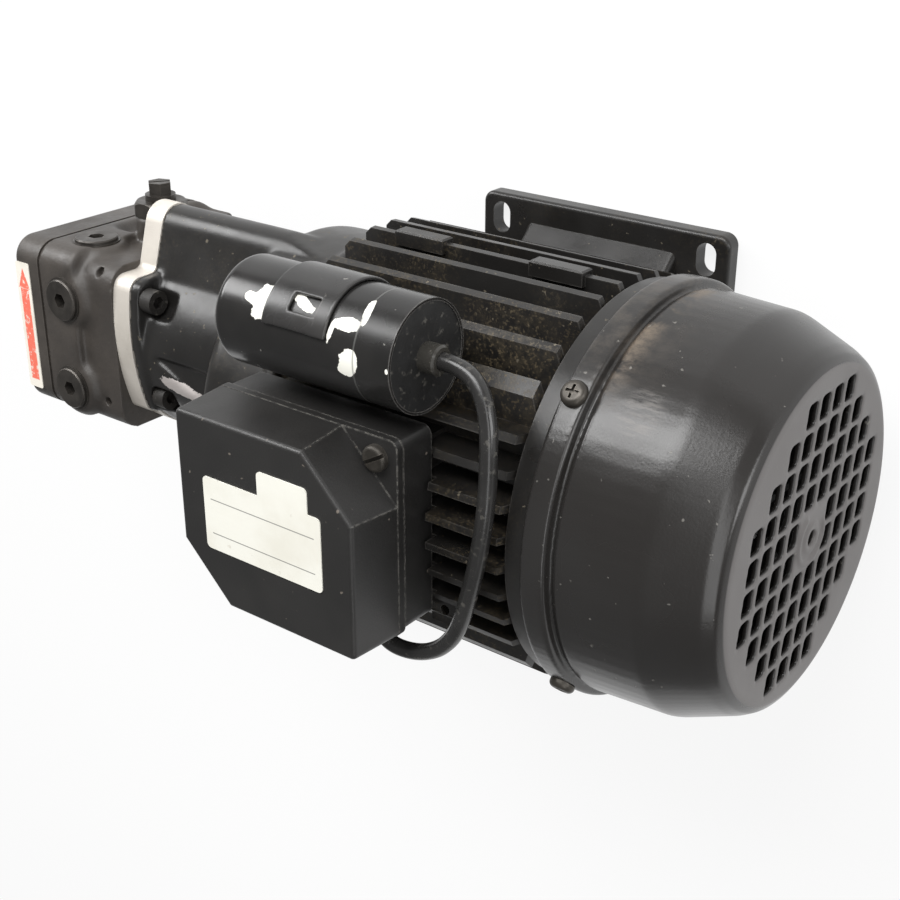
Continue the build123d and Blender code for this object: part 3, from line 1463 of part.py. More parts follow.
def make_lead():
    radii = lead_radii()
    path = FilletPolyline(*lead_route, radius=radii)
    section = Plane(path @ 0, z_dir=path % 0) * Circle(lead_radius)
    lead = sweep(section, path=path)
    save("capacitor_lead", lead)
    print("lead arc radii", [round(radius, 1) for radius in radii])
    print("lead length", round(path.length, 1))
    share = lead.volume / (math.pi * lead_radius ** 2 * path.length)
    print("lead volume over section times length", round(share, 4))
    end = lead_route[-1]
    wall = -box_width / 2 + 0.6
    gland = cross_rod(end[0], end[2], wall - lead_gland_length, wall, lead_gland_radius)
    gland += cross_rod(end[0], end[2], wall, wall + box_wall + 1, lead_radius + 0.8 - fit_gap)
    gland -= cross_rod(end[0], end[2], wall - lead_gland_length - 1, end[1], lead_radius + fit_gap)
    save("lead_gland", gland)


# Arrow strip on the side edge of the pump cover
def make_strip():
    side = axis_z + pump_width / 2
    middle = cover_left + strip_inset + strip_width / 2
    length = pump_height - 2 * strip_end_inset
    strip = Pos(middle, strip_middle_y) * RectangleRounded(strip_width, length, strip_corner)
    save("arrow_strip", Pos(0, 0, side) * extrude(strip, strip_thickness))


make_foot()
make_housing()
make_stator()
make_rotor()
make_bearings()
make_drive_end()
make_adapter()
make_pump_body()
make_pump_cover()
make_pump_gears()
make_strainer()
make_port_plugs()
make_regulator()
make_coupling()
make_rear_shield()
make_tie_bolts()
make_fan()
make_fan_cover()
make_box_base()
make_box_cover()
make_label()
make_terminal_block()
make_capacitor()
make_clip()
make_lead()
make_strip()

os.makedirs("parts", exist_ok=True)
for name, shape in parts.items():
    export_step(shape, "parts/" + name + ".step")
print(len(parts), "nodes")
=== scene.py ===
import math

import bpy
import numpy as np
from mathutils import Matrix, Vector


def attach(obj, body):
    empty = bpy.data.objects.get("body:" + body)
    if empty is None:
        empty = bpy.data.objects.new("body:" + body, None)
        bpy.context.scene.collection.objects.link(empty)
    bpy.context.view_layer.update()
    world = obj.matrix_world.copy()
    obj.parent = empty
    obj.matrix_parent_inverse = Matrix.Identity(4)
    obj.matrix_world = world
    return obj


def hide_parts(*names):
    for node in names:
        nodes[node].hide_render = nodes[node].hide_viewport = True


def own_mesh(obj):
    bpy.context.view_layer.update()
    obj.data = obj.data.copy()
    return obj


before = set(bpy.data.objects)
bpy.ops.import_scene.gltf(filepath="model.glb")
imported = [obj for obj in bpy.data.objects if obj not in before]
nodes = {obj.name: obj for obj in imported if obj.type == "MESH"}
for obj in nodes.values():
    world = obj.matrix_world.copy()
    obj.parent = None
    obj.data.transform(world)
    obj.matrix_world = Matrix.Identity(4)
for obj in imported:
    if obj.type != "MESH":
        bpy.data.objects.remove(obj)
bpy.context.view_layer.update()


# Places on the solids, in metres
axis_z = 0.069
can_y, can_z, can_radius = 0.051, 0.129, 0.016
can_seam_x = 0.0118
pump_left, pump_right, bell_left = -0.1655, -0.1320, -0.1240
pump_waist_top = 0.0381
pump_cap_x = -0.1446
pump_plug_x = -0.1536
pump_plug_y = (0.0236, -0.0094)
pump_top_plug_w = 0.0230
pump_drilling_x = -0.1394
pump_drilling_y = (0.0350, -0.0125)

# Pump: radii within which the faces round plugs, cap and drillings stay as they are, and where they blend
plug_face, cap_face, drilling_face = (0.0084, 0.0090), (0.0080, 0.0090), (0.0018, 0.0024)
far_pad_left, far_pad_w, far_pad_cap_gap = 0.005, 0.008, 0.0094

# Motor, fan cover and regulator
housing_left_x = -0.044
cover_face_x = 0.1107

# Capacitor clip: places in the solid, and how far the skin moves them
clip_left, clip_window_x, clip_window_angle = -0.0244, -0.01115, 52.0
clip_left_shift, clip_window_shift, clip_window_turn = 0.0038, 0.0030, -4.0

# Fan cover: the sloping shoulder as X and radius, and the slices that the solid is measured in
shoulder_x = (0.0905, 0.0925, 0.1063, 0.1092)
shoulder_radius = (0.0597, 0.0591, 0.0536, 0.0519)
cover_slice = 0.0004
cover_grille_radius, cover_rim_width = 0.040, 0.008
collar_x, collar_step_x = 0.0600, 0.0660

# Fan cover: a rubbed patch near the collar whose pale streaks are partly scuffs and partly a painted
# highlight, as middle and half sizes
rub_sheen_x, rub_sheen_y, rub_sheen_half_x, rub_sheen_half_y = 0.079, 0.043, 0.0075, 0.0065

# Bell: a bare patch on its upper side, as middle, half sizes and slope
bare_x, bare_y, bare_half_x, bare_half_y, bare_slope = -0.1045, 0.0002, 0.0100, 0.0026, -0.16

# Capacitor film: pale chips, as X, angle round the can, half sizes along and round it, and turn
chips = (
    (-0.0224, 55.5, 0.0034, 0.0052, 0.0),
    (-0.0264, 55.0, 0.0030, 0.0016, 15.0),
    (-0.0084, 46.5, 0.0044, 0.0015, 22.0),
    (0.0031, 64.0, 0.0008, 0.0036, 8.0),
    (0.0078, 54.5, 0.0046, 0.0019, -6.0),
    (0.0122, 38.0, 0.0011, 0.0042, -8.0),
    (0.0104, 89.0, 0.0030, 0.0034, -20.0),
    (0.0090, 98.0, 0.0026, 0.0018, 0.0),
    (0.0233, 88.0, 0.0005, 0.0007, 0.0),
)
chip_squareness = 2.4

# Label: two thin lines; strip: a plain arrow
label_line_y = (0.0046, -0.0062)
label_line_left, label_line_right, label_line_half = -0.0300, 0.0095, 0.00017
arrow_x, arrow_half_width = -0.1748, 0.00215
arrow_tail_y, arrow_neck_y, arrow_tip_y, arrow_head_slope = -0.0115, 0.0235, 0.0310, 0.40

# Camera fitted to the photograph
camera_lens, camera_sensor = 58.35, 36.0
camera_place = (0.24740, 0.19152, 0.41046)
camera_turn = (
    (0.793109, -0.259033, 0.551253),
    (0.002113, 0.906224, 0.422793),
    (-0.609076, -0.334156, 0.719282),
)

# Studio: floor, world and area lights as name, place, aim, size and power
floor_size, floor_z = 12.0, -0.0002
floor_color, floor_rough, floor_glow = (0.86, 0.86, 0.86), 0.9, 0.86
world_light, world_seen = 0.26, 1.0
area_lights = (
    ("key_light", (-0.10, 0.95, 0.75), (-0.02, 0.0, 0.07), (1.1, 0.5), 17.0),
    ("front_light", (0.70, 0.05, 0.90), (0.0, 0.0, 0.07), (1.5, 0.28), 4.0),
    ("left_light", (-1.05, 0.75, 0.62), (-0.08, 0.0, 0.07), (0.55, 0.55), 9.0),
    ("right_light", (1.15, 0.35, 0.35), (0.08, 0.0, 0.07), (0.5, 0.6), 5.0),
)


# Camera at the photograph's viewing angle
def make_camera():
    data = bpy.data.cameras.new("camera")
    data.lens = camera_lens
    data.sensor_width = camera_sensor
    data.clip_start = 0.01
    data.clip_end = 20.0
    camera = bpy.data.objects.new("camera", data)
    bpy.context.collection.objects.link(camera)
    camera.matrix_world = Matrix.Translation(camera_place) @ Matrix(camera_turn).to_4x4()
    bpy.context.scene.camera = camera


# Floor, world and studio lights
def make_stage():
    bpy.ops.mesh.primitive_plane_add(size=floor_size, location=(0, 0, floor_z))
    floor = bpy.context.object
    floor.name = "floor"
    floor.data.materials.append(floor_material())
    world = bpy.data.worlds.new("world")
    bpy.context.scene.world = world
    world.use_nodes = True
    tree = world.node_tree
    background = tree.nodes["Background"]
    path = tree.nodes.new("ShaderNodeLightPath")
    seen = math_node(tree, "MAXIMUM", path.outputs["Is Camera Ray"], path.outputs["Is Transmission Ray"])
    strength = range_node(tree, seen, 0.0, 1.0, world_light, world_seen)
    background.inputs["Color"].default_value = (1, 1, 1, 1)
    tree.links.new(strength, background.inputs["Strength"])
    for name, place, aim, size, power in area_lights:
        lamp = bpy.data.lights.new(name, "AREA")
        lamp.shape = "RECTANGLE"
        lamp.size, lamp.size_y = size
        lamp.energy = power
        light = bpy.data.objects.new(name, lamp)
        bpy.context.collection.objects.link(light)
        light.location = place
        direction = Vector(aim) - Vector(place)
        light.rotation_euler = direction.to_track_quat("-Z", "Y").to_euler()


# Floor that stays pale for the camera and in reflections, and takes the shadow
def floor_material():
    material = bpy.data.materials.new("pale_floor")
    material.use_nodes = True
    tree = material.node_tree
    shader = tree.nodes["Principled BSDF"]
    shader.inputs["Base Color"].default_value = rgba(floor_color)
    shader.inputs["Roughness"].default_value = floor_rough
    path = tree.nodes.new("ShaderNodeLightPath")
    glow = tree.nodes.new("ShaderNodeEmission")
    glow.inputs["Strength"].default_value = 1.0
    mix = tree.nodes.new("ShaderNodeMixShader")
    seen = math_node(tree, "MAXIMUM", path.outputs["Is Camera Ray"], path.outputs["Is Transmission Ray"])
    seen = math_node(tree, "MAXIMUM", seen, path.outputs["Is Glossy Ray"])
    factor = math_node(tree, "MULTIPLY", seen, floor_glow)
    tree.links.new(factor, mix.inputs["Fac"])
    tree.links.new(shader.outputs["BSDF"], mix.inputs[1])
    tree.links.new(glow.outputs["Emission"], mix.inputs[2])
    tree.links.new(mix.outputs["Shader"], tree.nodes["Material Output"].inputs["Surface"])
    return material


# Shader building blocks
def plug(tree, socket, value):
    if isinstance(value, bpy.types.NodeSocket):
        tree.links.new(value, socket)
    else:
        socket.default_value = value


def math_node(tree, operation, a, b=0.0, clamp=False):
    node = tree.nodes.new("ShaderNodeMath")
    node.operation = operation
    node.use_clamp = clamp
    for socket, value in zip(node.inputs, (a, b)):
        plug(tree, socket, value)
    return node.outputs[0]


def range_node(tree, value, low, high, to_low, to_high, smooth=False):
    node = tree.nodes.new("ShaderNodeMapRange")
    node.interpolation_type = "SMOOTHSTEP" if smooth else "LINEAR"
    plug(tree, node.inputs["Value"], value)
    node.inputs["From Min"].default_value = low
    node.inputs["From Max"].default_value = high
    node.inputs["To Min"].default_value = to_low
    node.inputs["To Max"].default_value = to_high
    return node.outputs["Result"]


def mix_node(tree, kind, factor, a, b):
    node = tree.nodes.new("ShaderNodeMix")
    node.data_type = kind
    plug(tree, node.inputs["Factor"], factor)
    plug(tree, node.inputs["A"], a)
    plug(tree, node.inputs["B"], b)
    return node.outputs["Result"]


def rgba(color):
    return (*color, 1.0)


def shade(color, factor):
    return tuple(min(1.0, channel * factor) for channel in color)


class Finish:
    """One procedural material, with colour, dirt, wear, roughness and bump built up in steps."""

    def __init__(self, name, color, rough, metal=0.0):
        self.material = bpy.data.materials.new(name)
        self.material.use_nodes = True
        self.tree = self.material.node_tree
        self.shader = self.tree.nodes["Principled BSDF"]
        self.where = self.tree.nodes.new("ShaderNodeTexCoord")
        self.color = rgba(color)
        self.rough = rough
        self.metal = metal
        self.bumps = []

    def noise(self, scale, detail, rough, seed, stretch=None):
        place = self.tree.nodes.new("ShaderNodeMapping")
        place.inputs["Location"].default_value = (seed, seed * 1.7, seed * 0.6)
        if stretch:
            place.inputs["Scale"].default_value = stretch
        self.tree.links.new(self.where.outputs["Object"], place.inputs["Vector"])
        node = self.tree.nodes.new("ShaderNodeTexNoise")
        node.inputs["Scale"].default_value = scale
        node.inputs["Detail"].default_value = detail
        node.inputs["Roughness"].default_value = rough
        self.tree.links.new(place.outputs["Vector"], node.inputs["Vector"])
        return node.outputs["Fac"]

    def axis(self, letter):
        split = self.tree.nodes.new("ShaderNodeSeparateXYZ")
        self.tree.links.new(self.where.outputs["Object"], split.inputs[0])
        return split.outputs[letter]

    def range(self, value, low, high, to_low=0.0, to_high=1.0, smooth=True):
        return range_node(self.tree, value, low, high, to_low, to_high, smooth)

    def math(self, operation, a, b=0.0, clamp=False):
        return math_node(self.tree, operation, a, b, clamp)

    def plus(self, a, b):
        return self.math("ADD", a, b)

    def minus(self, a, b):
        return self.math("SUBTRACT", a, b)

    def times(self, *values):
        result = values[0]
        for value in values[1:]:
            result = self.math("MULTIPLY", result, value)
        return result

    def most(self, a, b):
        return b if a is None else self.math("MAXIMUM", a, b)

    def off(self, value, middle):
        """Distance of a value from a middle, on either side."""
        return self.math("ABSOLUTE", self.minus(value, middle))

    def oval(self, u, v, half_u, half_v, power=2.0):
        """Distance from the middle of an oval, 1 on its outline."""
        u = self.math("POWER", self.math("ABSOLUTE", self.math("DIVIDE", u, half_u)), power)
        v = self.math("POWER", self.math("ABSOLUTE", self.math("DIVIDE", v, half_v)), power)
        return self.plus(u, v)

    def patches(self, scale, low, high, amount=1.0, detail=3.0, rough=0.55, seed=1.0, stretch=None):
        """Mask of soft patches: where the noise rises from low to high."""
        return self.range(self.noise(scale, detail, rough, seed, stretch), low, high, 0.0, amount)

    def edge(self, width):
        """Mask of the edges, from how far a rounded normal departs from the plain one."""
        bevel = self.tree.nodes.new("ShaderNodeBevel")
        bevel.samples = 4
        bevel.inputs["Radius"].default_value = width
        plain = self.tree.nodes.new("ShaderNodeNewGeometry")
        dot = self.tree.nodes.new("ShaderNodeVectorMath")
        dot.operation = "DOT_PRODUCT"
        self.tree.links.new(bevel.outputs["Normal"], dot.inputs[0])
        self.tree.links.new(plain.outputs["Normal"], dot.inputs[1])
        return self.range(dot.outputs["Value"], 0.985, 0.90)

    def tint(self, mask, color, rough=None, metal=None):
        self.color = mix_node(self.tree, "RGBA", mask, self.color, rgba(color))
        if rough is not None:
            self.rough = mix_node(self.tree, "FLOAT", mask, self.rough, rough)
        if metal is not None:
            self.metal = mix_node(self.tree, "FLOAT", mask, self.metal, metal)

    def specks(self, scale, low, high, amount, color, rough):
        mask = self.patches(scale, low, high, detail=2, rough=0.5, seed=8.0)
        self.tint(self.times(mask, amount), color, rough)

    def wear(self, width, amount, color, rough):
        self.tint(self.times(self.edge(width), amount), color, rough)

    def vary_rough(self, scale, amount):
        noise = self.noise(scale, 3.0, 0.55, 3.0)
        change = self.range(noise, 0.3, 0.7, -amount, amount, False)
        self.rough = self.math("ADD", self.rough, change, True)

    def bump(self, height, distance, strength):
        self.bumps.append((height, distance, strength))

    def grain(self, scale, distance, strength, detail=2, rough=0.6, seed=6.0, stretch=None):
        self.bump(self.noise(scale, detail, rough, seed, stretch), distance, strength)

    def waves(self, scale, distance, strength):
        self.bump(self.noise(scale, 2, 0.5, 7.0), distance, strength)

    def done(self):
        plug(self.tree, self.shader.inputs["Base Color"], self.color)
        plug(self.tree, self.shader.inputs["Roughness"], self.rough)
        plug(self.tree, self.shader.inputs["Metallic"], self.metal)
        previous = None
        for height, distance, strength in self.bumps:
            node = self.tree.nodes.new("ShaderNodeBump")
            node.inputs["Distance"].default_value = distance
            node.inputs["Strength"].default_value = strength
            plug(self.tree, node.inputs["Height"], height)
            if previous:
                self.tree.links.new(previous, node.inputs["Normal"])
            previous = node.outputs["Normal"]
        if previous:
            self.tree.links.new(previous, self.shader.inputs["Normal"])
        return self.material


# Painted castings: semi-gloss black with dust speckles and lighter edges
def black_paint(name, dusty):
    f = Finish(name, (0.0090, 0.0083, 0.0077), 0.33)
    f.tint(f.patches(scale=28, low=0.35, high=0.7), (0.015, 0.0142, 0.0135))
    haze = f.patches(scale=16, low=0.42, high=0.75, amount=dusty, detail=4, rough=0.6, seed=5.0)
    film = f.patches(scale=210, low=0.40, high=0.72, detail=5, rough=0.75, seed=2.0)
    f.tint(f.times(haze, film, 0.8), (0.060, 0.047, 0.028), 0.62)
    dust = f.patches(scale=1100, low=0.55, high=0.66, detail=2, rough=0.6, seed=12.0)
    f.tint(f.times(haze, dust, 0.75), (0.125, 0.095, 0.052), 0.75)
    f.specks(scale=520, low=0.70, high=0.75, amount=0.45, color=(0.20, 0.17, 0.12), rough=0.8)
    scuffed = f.times(f.edge(width=0.0006), f.patches(scale=120, low=0.4, high=0.6, seed=4.0), 0.55)
    f.tint(scuffed, (0.085, 0.080, 0.074), 0.4)
    f.vary_rough(scale=45, amount=0.09)
    f.grain(scale=700, distance=0.00005, strength=0.5, detail=3)
    f.waves(scale=60, distance=0.0008, strength=0.12)
    return f


# The bell's paint with its bare patch
def bell_paint():
    f = black_paint("bell_paint", 0.28)
    x, y, z = f.axis("X"), f.axis("Y"), f.axis("Z")
    along = f.minus(x, bare_x)
    across = f.minus(y, f.plus(bare_y, f.times(along, bare_slope)))
    far = f.oval(along, across, bare_half_x, bare_half_y)
    wobble = f.range(f.noise(scale=500, detail=3, rough=0.7, seed=15.0), 0.3, 0.7, -0.35, 0.35, False)
    ragged = f.plus(far, wobble)
    front = f.range(z, 0.095, 0.097)
    bare = f.times(f.range(ragged, 1.05, 0.92), front)
    f.tint(bare, (0.52, 0.48, 0.46), 0.45, 0.4)
    return f.done()


# Fan cover: satin plastic, dusty beside the collar, with a rubbed patch that also carries a painted
# highlight, and its grille face painted paler as a painted highlight
def satin_plastic():
    f = Finish("fan_cover_plastic", (0.0165, 0.0150, 0.0140), 0.26)
    f.tint(f.patches(scale=14, low=0.38, high=0.7), (0.022, 0.0212, 0.0205))
    x, y, z = f.axis("X"), f.axis("Y"), f.axis("Z")
    by_collar = f.range(x, 0.064, 0.088, 1.0, 0.0)
    top = f.range(y, 0.038, 0.058)
    smear = f.patches(scale=90, low=0.40, high=0.68, detail=5, rough=0.75, seed=9.0, stretch=(1, 2.5, 1))
    ledge = f.times(f.range(x, 0.0655, 0.0668), f.range(x, 0.0735, 0.0675))
    f.tint(f.times(ledge, top, smear, 0.75), (0.17, 0.13, 0.092), 0.62)
    f.tint(f.times(by_collar, top, smear, 0.22), (0.15, 0.125, 0.10), 0.5)
    # Pale streaks on the cover's top near the collar: partly scuffs, partly a painted highlight
    far = f.oval(f.minus(x, rub_sheen_x), f.minus(y, rub_sheen_y), rub_sheen_half_x, rub_sheen_half_y)
    streaks = f.patches(scale=240, low=0.42, high=0.66, detail=4, rough=0.7, seed=21.0,
                        stretch=(0.6, 4, 4))
    rub_and_sheen = f.times(f.range(far, 1.0, 0.1), streaks, f.range(z, axis_z, 0.08))
    f.tint(f.times(rub_and_sheen, 0.35), (0.20, 0.185, 0.17), 0.5)
    # The grille's face painted paler: a painted highlight on the side facing the light
    face = f.range(x, cover_face_x - 0.0003, cover_face_x)
    f.tint(f.times(face, 0.8), (0.125, 0.117, 0.114), 0.5)
    f.specks(scale=380, low=0.715, high=0.75, amount=0.5, color=(0.20, 0.19, 0.17), rough=0.7)
    f.wear(width=0.0007, amount=0.5, color=(0.095, 0.092, 0.088), rough=0.42)
    f.vary_rough(scale=24, amount=0.07)
    f.grain(scale=1300, distance=0.00005, strength=0.5, rough=0.5)
    f.waves(scale=22, distance=0.0015, strength=0.10)
    return f.done()


def box_plastic():
    f = Finish("terminal_box_plastic", (0.015, 0.0145, 0.014), 0.42)
    f.tint(f.patches(scale=22, low=0.38, high=0.7), (0.022, 0.021, 0.020))
    edge = f.edge(width=0.0009)
    chipped = f.patches(scale=650, low=0.44, high=0.56, rough=0.7, seed=3.0)
    f.tint(f.times(edge, chipped, 0.85), (0.20, 0.19, 0.17), 0.6)
    f.tint(f.times(edge, 0.4), (0.075, 0.073, 0.070), 0.45)
    f.specks(scale=300, low=0.72, high=0.76, amount=0.6, color=(0.20, 0.17, 0.14), rough=0.7)
    f.vary_rough(scale=50, amount=0.07)
    f.grain(scale=1600, distance=0.00006, strength=0.7)
    return f.done()


# Capacitor: gloss film with pale chips and a seam round the can
def capacitor_gloss():
    f = Finish("capacitor_film", (0.010, 0.0096, 0.0092), 0.22)
    f.tint(f.patches(scale=40, low=0.4, high=0.7), (0.015, 0.0142, 0.0135))
    x = f.axis("X")
    angle = f.math("ARCTAN2", f.minus(f.axis("Z"), can_z), f.minus(f.axis("Y"), can_y))
    wobble = f.range(f.noise(scale=420, detail=3, rough=0.65, seed=12.0), 0.3, 0.7, -0.42, 0.42, False)
    chipped = None
    for middle_x, middle_angle, half_x, half_arc, turn in chips:
        along = f.minus(x, middle_x)
        around = f.times(f.minus(angle, math.radians(middle_angle)), can_radius)
        cos, sin = math.cos(math.radians(turn)), math.sin(math.radians(turn))
        u = f.plus(f.times(along, cos), f.times(around, sin))
        v = f.minus(f.times(around, cos), f.times(along, sin))
        far = f.plus(f.oval(u, v, half_x, half_arc, chip_squareness), wobble)
        chipped = f.most(chipped, f.range(far, 1.06, 0.94))
    f.tint(chipped, (0.80, 0.79, 0.72), 0.5)
    seam = f.range(f.off(x, can_seam_x), 0.0004, 0.0001)
    f.tint(f.times(seam, 0.6), (0.10, 0.10, 0.095), 0.35)
    f.specks(scale=420, low=0.72, high=0.76, amount=0.7, color=(0.35, 0.34, 0.31), rough=0.5)
    f.wear(width=0.0006, amount=0.45, color=(0.22, 0.21, 0.20), rough=0.35)
    f.vary_rough(scale=40, amount=0.06)
    f.waves(scale=55, distance=0.0009, strength=0.14)
    f.bump(chipped, 0.00008, -0.5)
    return f.done()


def clip_paint():
    f = Finish("clip_paint", (0.018, 0.0174, 0.017), 0.27)
    f.tint(f.patches(scale=45, low=0.4, high=0.7, seed=2.0), (0.026, 0.025, 0.024))
    f.specks(scale=420, low=0.72, high=0.76, amount=0.6, color=(0.25, 0.24, 0.22), rough=0.5)
    f.wear(width=0.0005, amount=0.5, color=(0.15, 0.14, 0.13), rough=0.35)
    f.vary_rough(scale=50, amount=0.06)
    f.waves(scale=60, distance=0.0008, strength=0.12)
    return f.done()


def bare_aluminium():
    f = Finish("machined_aluminium", (0.60, 0.560, 0.505), 0.46, 0.30)
    f.tint(f.patches(scale=35, low=0.4, high=0.72, detail=4, rough=0.6), (0.50, 0.465, 0.41))
    stains = f.patches(scale=90, low=0.58, high=0.75, detail=5, rough=0.7, seed=3.0)
    f.tint(f.times(stains, 0.6), (0.30, 0.265, 0.22), 0.6)
    f.vary_rough(scale=60, amount=0.10)
    f.grain(scale=260, distance=0.00006, strength=0.5, rough=0.5, seed=5.0, stretch=(1, 9, 9))
    f.grain(scale=400, distance=0.0001, strength=0.35, detail=3)
    f.wear(width=0.0006, amount=0.5, color=(0.62, 0.60, 0.56), rough=0.3)
    return f.done()


def pump_casting():
    f = Finish("pump_casting", (0.036, 0.031, 0.027), 0.46)
    f.tint(f.patches(scale=30, low=0.38, high=0.7, detail=4, rough=0.6), (0.056, 0.048, 0.041))
    grime = f.patches(scale=55, low=0.52, high=0.75, detail=4, rough=0.65, seed=3.0)
    f.tint(f.times(grime, 0.7), (0.018, 0.0155, 0.0135), 0.36)
    f.wear(width=0.0008, amount=0.35, color=(0.12, 0.108, 0.095), rough=0.45)
    f.vary_rough(scale=60, amount=0.10)
    f.grain(scale=520, distance=0.00022, strength=0.6, detail=3, rough=0.65)
    f.waves(scale=75, distance=0.0009, strength=0.16)
    return f.done()


def dark_steel(name, color, rough):
    f = Finish(name, color, rough, 0.6)
    f.tint(f.patches(scale=150, low=0.4, high=0.7), shade(color, 0.6))
    f.wear(width=0.0004, amount=0.5, color=shade(color, 2.2), rough=0.3)
    f.vary_rough(scale=200, amount=0.10)
    f.grain(scale=900, distance=0.00008, strength=0.5, detail=3)
    return f.done()


def bright_metal(name, color, rough):
    f = Finish(name, color, rough, 0.95)
    f.tint(f.patches(scale=120, low=0.4, high=0.7), shade(color, 0.8))
    f.vary_rough(scale=160, amount=0.08)
    f.grain(scale=600, distance=0.00004, strength=0.4, stretch=(8, 1, 1))
    return f.done()


def rubber(name, color, rough):
    f = Finish(name, color, rough)
    f.tint(f.patches(scale=60, low=0.4, high=0.7), shade(color, 1.5))
    dust = f.patches(scale=420, low=0.58, high=0.70, rough=0.6, seed=4.0)
    f.tint(f.times(dust, 0.35), (0.16, 0.15, 0.13), 0.7)
    f.vary_rough(scale=90, amount=0.08)
    f.grain(scale=800, distance=0.00006, strength=0.5)
    return f.done()


# Blank label with two thin lines
def label_film():
    f = Finish("label_film", (0.78, 0.77, 0.70), 0.5)
    f.tint(f.patches(scale=45, low=0.4, high=0.75, detail=4, rough=0.6), (0.71, 0.69, 0.61))
    x, y = f.axis("X"), f.axis("Y")
    lines = None
    for level in label_line_y:
        line = f.range(f.off(y, level), label_line_half + 0.00005, label_line_half - 0.00005)
        inside = f.times(f.range(x, label_line_left, label_line_left + 0.0002),
                         f.range(x, label_line_right, label_line_right - 0.0002))
        lines = f.most(lines, f.times(line, inside))
    f.tint(f.times(lines, 0.75), (0.10, 0.10, 0.10))
    stain = f.patches(scale=160, low=0.66, high=0.75, detail=4, rough=0.7, seed=6.0)
    f.tint(f.times(stain, 0.4), (0.45, 0.40, 0.32))
    f.vary_rough(scale=70, amount=0.05)
    f.waves(scale=500, distance=0.00003, strength=0.4)
    return f.done()


# Cream strip with a worn red arrow
def strip_film():
    f = Finish("strip_film", (0.80, 0.76, 0.68), 0.5)
    f.tint(f.patches(scale=90, low=0.4, high=0.75, detail=4, rough=0.6), (0.70, 0.66, 0.58))
    x, y = f.axis("X"), f.axis("Y")
    off = f.off(x, arrow_x)
    shaft = f.times(f.range(off, arrow_half_width + 0.0001, arrow_half_width - 0.0001),
                    f.range(y, arrow_tail_y, arrow_tail_y + 0.0003),
                    f.range(y, arrow_neck_y, arrow_neck_y - 0.0003))
    slope = f.minus(off, f.times(f.minus(arrow_tip_y, y), arrow_head_slope))
    head = f.times(f.range(slope, 0.0001, -0.0001),
                   f.range(y, arrow_neck_y - 0.0002, arrow_neck_y + 0.0001),
                   f.range(y, arrow_tip_y + 0.0002, arrow_tip_y))
    arrow = f.most(shaft, head)
    worn = f.range(f.noise(scale=520, detail=4, rough=0.75, seed=11.0), 0.56, 0.64, 1.0, 0.15)
    faded = f.range(f.noise(scale=150, detail=3, rough=0.7, seed=12.0), 0.60, 0.70, 1.0, 0.2)
    f.tint(f.times(arrow, worn, faded, 0.95), (0.80, 0.135, 0.080))
    stain = f.patches(scale=200, low=0.62, high=0.75, detail=4, rough=0.7, seed=6.0)
    f.tint(f.times(stain, 0.4), (0.42, 0.36, 0.28))
    f.vary_rough(scale=70, amount=0.05)
    f.waves(scale=500, distance=0.00003, strength=0.4)
    return f.done()


def windings_copper():
    f = Finish("winding_copper", (0.45, 0.20, 0.09), 0.35, 0.8)
    f.tint(f.patches(scale=80, low=0.4, high=0.7), (0.30, 0.12, 0.05))
    f.grain(scale=260, distance=0.0006, strength=0.7, rough=0.5, seed=3.0, stretch=(6, 1, 1))
    f.vary_rough(scale=120, amount=0.1)
    return f.done()


# The capacitor's lead as one smooth line along its route
def make_lead(material):
    route = [
        (0.0282, 0.0510, 0.1290),
        (0.0358, 0.0510, 0.1290),
        (0.0424, 0.0474, 0.1303),
        (0.0464, 0.0404, 0.1320),
        (0.0482, 0.0310, 0.1340),
        (0.0486, 0.0205, 0.1350),
        (0.0476, 0.0095, 0.1353),
        (0.0456, -0.0015, 0.1352),
        (0.0428, -0.0120, 0.1348),
        (0.0396, -0.0215, 0.1334),
        (0.0350, -0.0306, 0.1318),
        (0.0282, -0.0380, 0.1304),
        (0.0196, -0.0424, 0.1298),
        (0.0118, -0.0416, 0.1316),
        (0.0080, -0.0368, 0.1322),
        (0.0080, -0.0313, 0.1322),
    ]
    curve = bpy.data.curves.new("capacitor_lead_line", "CURVE")
    curve.dimensions = "3D"
    spline = curve.splines.new("NURBS")
    spline.points.add(len(route) - 1)
    for point, place in zip(spline.points, route):
        point.co = (*place, 1.0)
    spline.order_u = 3
    spline.use_endpoint_u = True
    spline.resolution_u = 12
    curve.bevel_depth = 0.0025
    curve.bevel_resolution = 6
    curve.use_fill_caps = True
    lead = bpy.data.objects.new("capacitor_lead_skin", curve)
    bpy.context.collection.objects.link(lead)
    curve.materials.append(material)
    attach(lead, "unit")
    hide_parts("capacitor_lead")


# The regulator's spring as a copy of the solid with its own mesh
def make_spring(material):
    solid = nodes["regulator_spring"]
    spring = bpy.data.objects.new("regulator_spring_skin", solid.data.copy())
    bpy.context.collection.objects.link(spring)
    spring.data.materials.clear()
    spring.data.materials.append(material)
    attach(spring, "unit")
    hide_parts("regulator_spring")
    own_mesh(spring)


